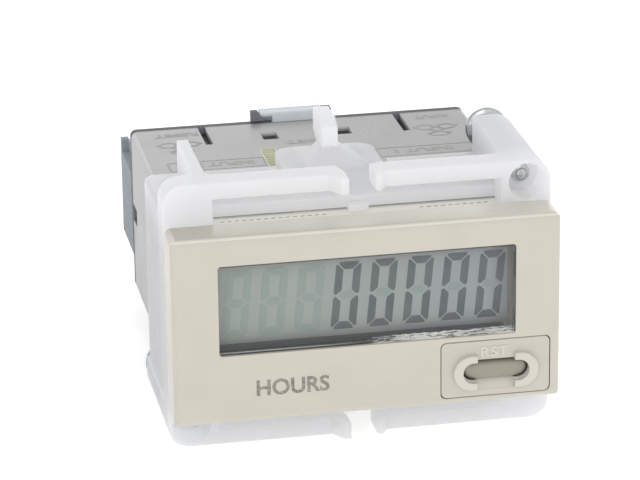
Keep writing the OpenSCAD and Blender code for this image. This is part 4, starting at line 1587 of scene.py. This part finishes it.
@dataclass
class Display:
    """Window, dark frame, liquid crystal cell and the digits on it."""

    middle_x: float = 0.2
    middle_z: float = 2.15
    film_y: float = -1.45
    sunk: float = 0.05
    height: float = 8.7
    width: float = 3.15
    pitch: float = 4.5
    stroke: float = 0.95
    gap: float = 0.12
    slant: float = math.tan(math.radians(5.7))
    digits: int = 8
    lit: int = 5
    lit_thick: float = 0.05
    idle_thick: float = 0.04
    caps: tuple[tuple[int, ...], ...] = ((0, 1, 4, 5), (1, 2, 3, 4))
    edge_x: Pair = (-18.2, 18.2)
    edge_y: Pair = (-4.56, -3.44)
    edge_z: Pair = (-3.19, -3.14)
    edge_slope: Pair = (0.04, 0.3)
    edge_wave: float = 0.04
    edge_waves: tuple[tuple[float, ...], ...] = (
        (1.0, 5.1, 3.0, 0.0),
        (0.6, 11.7, -5.0, 1.0),
        (0.4, 23.0, 9.0, 0.0),
    )
    calm_share: float = 0.15
    lively_x: Pair = (-6.0, 4.0)

    def segment(self, start: Array, end: Array, cuts: tuple[EndCut, EndCut], thick: float) -> Array:
        """One segment, its outer side left of the way from start to end.

        A point is the start plus the way to the end times (from + (to - from) * u), plus the width across
        and the depth.

        Args:
            start: Its first corner in the digit.
            end: Its last corner.
            cuts: How it ends.
            thick: Its thickness.

        Returns:
            Grid of stations by section by 3, before the slant.
        """
        way = end - start
        length = np.linalg.norm(way)
        way = way / length
        side = np.array([-way[1], way[0]])
        back = [np.array([cut.value[k] for k in (0, 1, 2, 2, 1, 0)]) + self.gap for cut in cuts]
        across = [np.array([-1.0, cut.value[3], 1.0, 1.0, cut.value[3], -1.0]) for cut in cuts]
        depth = np.array([0.0, 0.0, 0.0, thick, thick, thick])
        u = np.linspace(0, 1, 5)[:, None]
        run = back[0] + (length - back[1] - back[0]) * u
        off = (across[0] + (across[1] - across[0]) * u) * self.stroke / 2
        plan = start + run[..., None] * way + off[..., None] * side
        y = np.broadcast_to(self.film_y - self.sunk + depth, run.shape)
        return np.stack([plan[..., 0], y, plan[..., 1]], axis=-1)

    def place(self, grid: Array, index: int) -> Array:
        """Slants a digit's grid and moves it to its place in the row.

        X grows by the slant times the height and by the digit's place, and Z by the row's height.

        Args:
            grid: Points of the digit.
            index: Its number from the left.

        Returns:
            The moved points.
        """
        out = grid.copy()
        column = (index - (self.digits - 1) / 2) * self.pitch
        out[..., 0] += out[..., 2] * self.slant + self.middle_x + column
        out[..., 2] += self.middle_z
        return out

    def strokes(self, thick: float) -> list[Array]:
        """The seven segments of a digit, the middle one last.

        Args:
            thick: Their thickness.

        Returns:
            A grid for each.
        """
        x, z = (self.width - self.stroke) / 2, (self.height - self.stroke) / 2
        mitre, waist, point = EndCut.MITRE, EndCut.WAIST, EndCut.POINT
        plan = [
            ((-x, z), (x, z), (mitre, mitre)),
            ((x, z), (x, 0), (mitre, waist)),
            ((x, 0), (x, -z), (waist, mitre)),
            ((x, -z), (-x, -z), (mitre, mitre)),
            ((-x, -z), (-x, 0), (mitre, waist)),
            ((-x, 0), (-x, z), (waist, mitre)),
            ((-x, 0), (x, 0), (point, point)),
        ]
        return [self.segment(np.array(a), np.array(b), cuts, thick) for a, b, cuts in plan]

    def row(
        self, name: str, slot: str, finish: Finish, thick: float, kept: Callable[[int], range]
    ) -> bpy.types.Object:
        """Segments of all digits as one piece.

        Args:
            name: The piece's name.
            slot: The record's material slot.
            finish: Its finish.
            thick: Thickness of the segments.
            kept: Numbers of the segments that a digit keeps, from its place in the row.

        Returns:
            The piece.
        """
        shell = Shell(name)
        for index in range(self.digits):
            strokes = self.strokes(thick)
            for number in kept(index):
                shell.patch(self.place(strokes[number], index), loop_columns=True, caps=self.caps)
        return shell.piece("housing", slot, finish)

    def lit_segments(self, index: int) -> range:
        """Segments that show: those of a zero in the last digits."""
        return range(6) if index >= self.digits - self.lit else range(0)

    def idle_segments(self, index: int) -> range:
        """Segments that are off: all of the first digits, and the middle one of each zero."""
        return range(7) if index < self.digits - self.lit else range(6, 7)

    def cut_edge(self) -> bpy.types.Object:
        """Uneven cut edge along the window's lower side.

        A thin strip that slopes up to the rear and wavers with a sum of sines, both more so to the right.
        Each wave is its height, its turns in radians per millimetre along X and Y, and its start.

        Returns:
            The piece.
        """
        x = np.linspace(*self.edge_x, 260)[:, None]
        y = np.linspace(*self.edge_y, 9)[None, :]
        foot, base = self.edge_z
        front, rise = self.edge_slope
        back = (y - self.edge_y[0]) / (self.edge_y[1] - self.edge_y[0])
        wave = sum(
            size * np.sin(x * per_x + y * per_y + start)
            for size, per_x, per_y, start in self.edge_waves
        )
        calm, lively = self.lively_x
        share = np.clip((x - calm) / (lively - calm), self.calm_share, 1.0)
        z = base + (front + rise * back) * share + self.edge_wave * wave * share
        top = np.stack([np.broadcast_to(x, z.shape), np.broadcast_to(y, z.shape), z], axis=-1)
        low = top.copy()
        low[..., 2] = foot
        ring = np.concatenate([top, low[:, ::-1]], axis=1)
        shell = Shell("window_cut_edge").patch(ring, loop_columns=True, caps=[range(ring.shape[1])])
        return shell.piece("housing", "window_plastic", SparkleEdge("sparkle_edge"))

    def build(self) -> None:
        """Dresses the solids, then makes the digits and the window's cut edge."""
        dress_nodes(
            {
                "window": WINDOW_PLASTIC,
                "display_frame": FRAME_PLASTIC,
                "lcd_glass": CELL_GLASS,
                "lcd_polariser": FILM,
                "lcd_reflector": REFLECTOR,
            }
        )
        lit = self.row("lit_digits", "ink_lit", LIT_SHADE, self.lit_thick, self.lit_segments)
        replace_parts(lit, "lit_segments")
        idle = self.row("idle_digits", "ink_idle", IDLE_SHADE, self.idle_thick, self.idle_segments)
        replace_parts(idle, "idle_segments")
        self.cut_edge()


@dataclass
class TopPrint:
    """Legends and wiring marks printed on the top of the case, read from the rear.

    A box is its X and Y limits, and a row of dashes its X limits. A terminal is its X, its Y and its half
    width and depth, and the bowl its half width, its depth and its Y. A legend is its words, the X and Y of
    its middle, its width and its height.
    """

    level: float = 11.0
    thick: float = 0.015
    sunk: float = 0.02
    bold: float = 0.03
    apart: float = 0.002
    box_line: float = 0.2
    mark_line: float = 0.32
    dash_line: float = 0.22
    dash_y: float = 3.4
    dash: Pair = (0.55, 0.1)
    dash_pitch: float = 0.9
    dash_rows: tuple[Pair, ...] = ((8.2, 17.0), (-16.6, -3.4))
    boxes: tuple[tuple[float, ...], ...] = ((-19.6, -7.3, 23.2, 26.5), (7.5, 20.5, 23.2, 26.5))
    contacts: tuple[Pair, ...] = ((-17.0, 33.0), (17.0, 33.0))
    terminal: tuple[float, ...] = (1.45, 0.7, 1.1, 0.9)
    bowl: tuple[float, ...] = (1.5, 1.2, -1.7)
    leads: tuple[tuple[Pair, Pair], ...] = (
        ((2.5, 0.7), (3.0, 0.9)),
        ((1.3, -0.2), (-1.0, -1.7)),
        ((1.5, -1.7), (1.0, -2.0)),
        ((0.5, 1.5), (0.2, 0.4)),
    )
    legends: tuple[tuple[str, float, float, float, float], ...] = (
        ("INPUT 2", -12.4, 25.0, 7.6, 1.5),
        ("INPUT 1", 13.6, 25.0, 7.6, 1.5),
        ("RESET", -16.8, 37.6, 5.8, 1.4),
        ("INPUT", 17.4, 38.0, 4.4, 1.3),
        ("SET", -1.3, 31.6, 4.2, 1.4),
    )

    def lines(self, shell: Shell, paths: Sequence[Array], width: float) -> None:
        """Adds lines that cross, each at its own height so that none lies in another's surface.

        Args:
            shell: Shell to add to.
            paths: Points in plan of each line.
            width: Width of the lines.
        """
        for rank, path in enumerate(paths):
            ribbon(shell, path, self.level + rank * self.apart, width, self.thick)

    def box(self, x0: float, x1: float, y0: float, y1: float) -> list[Array]:
        """The four sides of a frame round a legend.

        Args:
            x0: Its end at the left.
            x1: Its end at the right.
            y0: Its front side.
            y1: Its rear side.

        Returns:
            Points of each side.
        """
        corners = [(x0, y0), (x1, y0), (x1, y1), (x0, y1)]
        return [np.linspace(a, b, 4) for a, b in zip(corners, corners[1:] + corners[:1])]

    def contact(self, x: float, y: float) -> list[Array]:
        """Wiring mark: two terminals side by side, crossed leads below them and a bowl-shaped contact.

        The terminals are ellipses, the leads are straight, and the bowl is the lower half of an ellipse.

        Args:
            x: X of its middle.
            y: Y of its middle.

        Returns:
            Points of each line.
        """
        turn = np.linspace(0, 2 * math.pi, 60)
        under = turn[30:]
        wide, deep, drop = self.bowl
        aside, up, half_w, half_h = self.terminal
        paths = [np.column_stack([wide * np.cos(under), deep * np.sin(under) + drop])]
        for side in (-1, 1):
            x_round, y_round = side * aside + half_w * np.cos(turn), up + half_h * np.sin(turn)
            paths.append(np.column_stack([x_round, y_round]))
            paths += [np.array(lead) * [side, 1.0] for lead in self.leads]
        return [path + [x, y] for path in paths]

    def build(self) -> None:
        """Makes the boxes, the marks and the dashes as one piece, and the legends as another."""
        shell = Shell("top_lines")
        for box in self.boxes:
            self.lines(shell, self.box(*box), self.box_line)
        for at in self.contacts:
            self.lines(shell, self.contact(*at), self.mark_line)
        for start, end in self.dash_rows:
            for x in np.arange(start, end, self.dash_pitch):
                path = np.array([[x, self.dash_y], [x + self.dash[0], self.dash_y + self.dash[1]]])
                ribbon(shell, path, self.level, self.dash_line, self.thick)
        shell.piece("housing", "case_plastic", TOP_INK)
        meshes = []
        for text, x, y, width, height in self.legends:
            stand = Stand((x, y, self.level), (-1, 0, 0), (0, -1, 0))
            relief = Relief(width, height, self.thick, self.sunk, self.bold)
            meshes.append(words("legend", text, stand, relief))
        settle(joined("top_legends", meshes), "top_legends", "housing", TOP_INK)


@dataclass
class Bracket:
    """Snap-in bracket, its clamp screws and the marks that its mould left."""

    clamp_x: float = 21.1
    clamp_z: float = 14.3
    tip_y: float = 3.5
    head_y: float = 21.5
    thread_d: float = 2.3
    turn: Pair = (0.5, 0.2)
    flank_x: float = 23.8
    pin_y: float = 11.0
    pin_z: float = 6.5
    pin_r: float = 1.3
    mark_r: float = 0.05

    def screws(self) -> None:
        """Upper and lower clamp screw."""
        middle, swing = self.turn
        for name, sign in (("upper", 1), ("lower", -1)):
            x, z, turn = sign * self.clamp_x, sign * self.clamp_z, middle + sign * swing
            screw = PanScrew(x, z, self.tip_y, self.head_y, self.thread_d, turn=turn)
            shell = screw.add(Shell(f"{name}_clamp_thread"))
            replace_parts(shell.piece(f"{name}_screw", "zinc", CLAMP_ZINC, 60.0), f"{name}_clamp_screw")

    def mould_marks(self) -> bpy.types.Object:
        """Rings that the ejector pins left on the sleeve's flanks.

        Each is a small round section carried round a circle.

        Returns:
            The piece.
        """
        shell = Shell("bracket_pin_marks")
        turn = np.linspace(0, 2 * math.pi, 40, endpoint=False)
        bend = np.linspace(0, 2 * math.pi, 8, endpoint=False)
        section = self.mark_r * np.column_stack([np.cos(bend), np.sin(bend)])
        out = np.column_stack([np.zeros(len(turn)), np.cos(turn), np.sin(turn)])
        for side in (-1, 1):
            for z in (-self.pin_z, self.pin_z):
                path = np.array([side * self.flank_x, self.pin_y, z]) + self.pin_r * out
                shell.patch(carried(path, out, np.array([1.0, 0, 0]), section), True, True)
        return shell.piece("bracket", "nylon", BRACKET_NYLON)

    def build(self) -> None:
        """Makes and dresses everything here."""
        dress_nodes({"mounting_bracket": BRACKET_NYLON})
        self.screws()
        self.mould_marks()


@dataclass
class Terminals:
    """Terminal block, its metal parts, and the cover that turns on it."""

    places: tuple[float, ...] = (-17.0, -10.0, 10.0, 17.0)
    head_y: float = 45.5
    head_d: float = 5.2
    head_h: float = 1.8
    shaft: float = 3.8
    turn: Pair = (0.4, 1.1)
    around: int = 40
    number_y: float = 51.5
    number_z: float = 4.4
    number_relief: Relief = Relief(1.1, 1.8, 0.12, 0.2)

    def screws(self) -> bpy.types.Object:
        """The four terminal screws, each turned further than the one before.

        Returns:
            The piece.
        """
        shell = Shell("terminal_screw_set")
        size = {"head_d": self.head_d, "head_h": self.head_h, "around": self.around}
        first, more = self.turn
        for index, x in enumerate(self.places):
            tip_y, turn = self.head_y - self.shaft, first + index * more
            PanScrew(x, 0.0, tip_y, self.head_y, turn=turn, **size).add(shell)
        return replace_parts(shell.piece("housing", "zinc", ZINC, 60.0), "terminal_screws")

    def numbers(self) -> bpy.types.Object:
        """Raised terminal numbers on the cover's rear.

        Returns:
            The piece.
        """
        meshes = []
        for index, x in enumerate(reversed(self.places)):
            stand = Stand((x, self.number_y, self.number_z), (-1, 0, 0), (0, 0, 1))
            meshes.append(words("number", str(index + 1), stand, self.number_relief))
        mesh = joined("cover_numbers", meshes)
        return settle(mesh, "cover_numbers", "cover", COVER_PLASTIC)

    def build(self) -> None:
        """Makes and dresses everything here."""
        dress_nodes(
            {
                "terminal_block": DARK_PLASTIC,
                "terminal_cover": COVER_PLASTIC,
                "terminal_plates": NICKEL,
                "contact_strips": NICKEL,
                "clamp_washers": ZINC,
            }
        )
        self.screws()
        self.numbers()


@dataclass
class Interior:
    """What the case holds: board, parts, switch and battery."""

    sign_x: float = -1.0
    sign_y: float = 30.6
    sign_half: float = 1.0
    sign_z: float = 3.7
    sign_line: float = 0.3
    sign_thick: float = 0.05

    def polarity(self) -> bpy.types.Object:
        """Plus sign on the battery's upper face: two crossed lines.

        Returns:
            The piece.
        """
        shell = Shell("battery_plus_sign")
        middle = np.array([self.sign_x, self.sign_y])
        for arm in ([self.sign_half, 0.0], [0.0, self.sign_half]):
            path = np.linspace(middle - arm, middle + arm, 4)
            ribbon(shell, path, self.sign_z, self.sign_line, self.sign_thick)
        return shell.piece("housing", "cell", SIGN_INK)

    def build(self) -> None:
        """Makes and dresses everything here."""
        dress_nodes(
            {
                "front_board": BoardLaminate("board_laminate"),
                "controller_chip": CHIP_PLASTIC,
                "quartz_crystal": CELL_STEEL,
                "chip_components": CeramicChips("ceramic_chips"),
                "elastomer_connectors": SILICONE,
                "reset_switch": SWITCH_PLASTIC,
                "switch_plunger": PLUNGER_PLASTIC,
                "battery": CELL_STEEL,
                "battery_tray": TRAY_PLASTIC,
                "battery_contact_plus": NICKEL,
                "battery_contact_minus": NICKEL,
            }
        )
        self.polarity()


# Studio


def placed(right: Array, up: Array, back: Array, place: Array) -> Matrix:
    """Matrix of a thing that stands at a place and looks against back.

    Args:
        right: Its own X.
        up: Its own Y.
        back: Its own Z.
        place: Where it stands, in metres.

    Returns:
        The matrix, whose columns are these four.
    """
    turn = np.eye(4)
    turn[:3] = np.column_stack([right, up, back, place])
    return Matrix(turn.tolist())


@dataclass
class Lamp:
    """A soft lamp: a rectangle aimed at the object. Its place and size are in metres."""

    name: str
    place: Vec
    size: Pair
    power: float
    colour: Colour = WHITE

    def build(self) -> None:
        """Makes the lamp and aims it at the origin."""
        light = bpy.data.lights.new(self.name, "AREA")
        light.shape = "RECTANGLE"
        light.size, light.size_y = self.size
        light.energy = self.power
        light.color = self.colour
        holder = bpy.data.objects.new(self.name, light)
        back = np.array(self.place) / np.linalg.norm(self.place)
        right = np.cross([0.0, 0.0, 1.0], back)
        right /= np.linalg.norm(right)
        holder.matrix_world = placed(right, np.cross(back, right), back, np.array(self.place))
        bpy.context.scene.collection.objects.link(holder)


@dataclass
class Studio:
    """Floor, world, lamps and the camera at the photograph's angle, in degrees and millimetres."""

    floor_z: float = -17.02
    floor_half: float = 3000.0
    floor_points: int = 41
    azimuth: float = -10.665
    elevation: float = 20.242
    roll: float = 0.709
    distance: float = 411.584
    shift: Pair = (-4.8377, 8.1365)
    lens: float = 188.99
    sensor: float = 36.0
    clip: Pair = (0.01, 20.0)
    ambient: float = 0.8
    left_share: float = 0.77
    left_span: Pair = (-0.9, 0.1)
    lamps: tuple[Lamp, ...] = (
        Lamp("key_lamp", (-0.2, -0.8, 0.45), (0.6, 0.5), 1.25),
        Lamp("top_lamp", (-0.1, -0.1, 1.0), (0.3, 0.1), 0.3),
        Lamp("rear_lamp", (0.1, 0.9, 0.25), (0.9, 0.5), 1.1),
    )

    def floor(self) -> None:
        """Level floor: a grid whose points all have the same height."""
        line = np.linspace(-self.floor_half, self.floor_half, self.floor_points)
        x, y = np.meshgrid(line, line, indexing="ij")
        points = np.stack([x, y, np.full(x.shape, self.floor_z)], axis=-1)
        mesh = bpy.data.meshes.new("floor")
        quads = facets(self.floor_points, self.floor_points, False, False)
        mesh.from_pydata((points.reshape(-1, 3) * MM).tolist(), [], quads.tolist())
        holder = bpy.data.objects.new("floor", mesh)
        bpy.context.scene.collection.objects.link(holder)
        StudioFloor("studio_floor").dress(holder)

    def world(self) -> None:
        """Soft light, a little dimmer from the left, and white where rays see it."""
        world = bpy.data.worlds.new("studio")
        bpy.context.scene.world = world
        g = Graph(world)
        dim, full, white = (
            g.node("ShaderNodeBackground", None, {"Color": WHITE, "Strength": strength})[0]
            for strength in (self.ambient * self.left_share, self.ambient, 1.0)
        )
        across = g.node("ShaderNodeSeparateXYZ", None, {0: g.node("ShaderNodeTexCoord")["Generated"]})[0]
        soft = g.mixed(across.step(*self.left_span), dim, full)
        g.output(g.mixed(g.seen(), soft, white), "ShaderNodeOutputWorld")

    def camera(self) -> None:
        """Camera: right, up and back follow from azimuth, elevation and roll."""
        a, e, r = (math.radians(v) for v in (self.azimuth, self.elevation, self.roll))
        level = np.array([math.cos(a), math.sin(a), 0.0])
        back = np.array([math.sin(a) * math.cos(e), -math.cos(a) * math.cos(e), math.sin(e)])
        upright = np.cross(back, level)
        place = level * self.shift[0] + upright * self.shift[1] + back * self.distance
        right = level * math.cos(r) - upright * math.sin(r)
        up = level * math.sin(r) + upright * math.cos(r)
        data = bpy.data.cameras.new("camera")
        data.lens = self.lens
        data.sensor_width = self.sensor
        data.sensor_fit = "HORIZONTAL"
        data.clip_start, data.clip_end = self.clip
        holder = bpy.data.objects.new("camera", data)
        holder.matrix_world = placed(right, up, back, place * MM)
        bpy.context.scene.collection.objects.link(holder)
        bpy.context.scene.camera = holder

    def build(self) -> None:
        """Makes the whole studio."""
        self.floor()
        self.world()
        for lamp in self.lamps:
            lamp.build()
        self.camera()
        bpy.context.scene.view_settings.view_transform = "Standard"


def main() -> None:
    """Builds the studio and dresses the meter, sub-assembly by sub-assembly."""
    logging.basicConfig(level=logging.INFO, format="%(name)s: %(message)s")
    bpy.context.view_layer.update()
    for part in (Studio(), Bezel(), Display(), TopPrint(), Bracket(), Terminals(), Interior()):
        part.build()
        LOG.info("%s done", type(part).__name__)


if __name__ == "__main__":
    main()
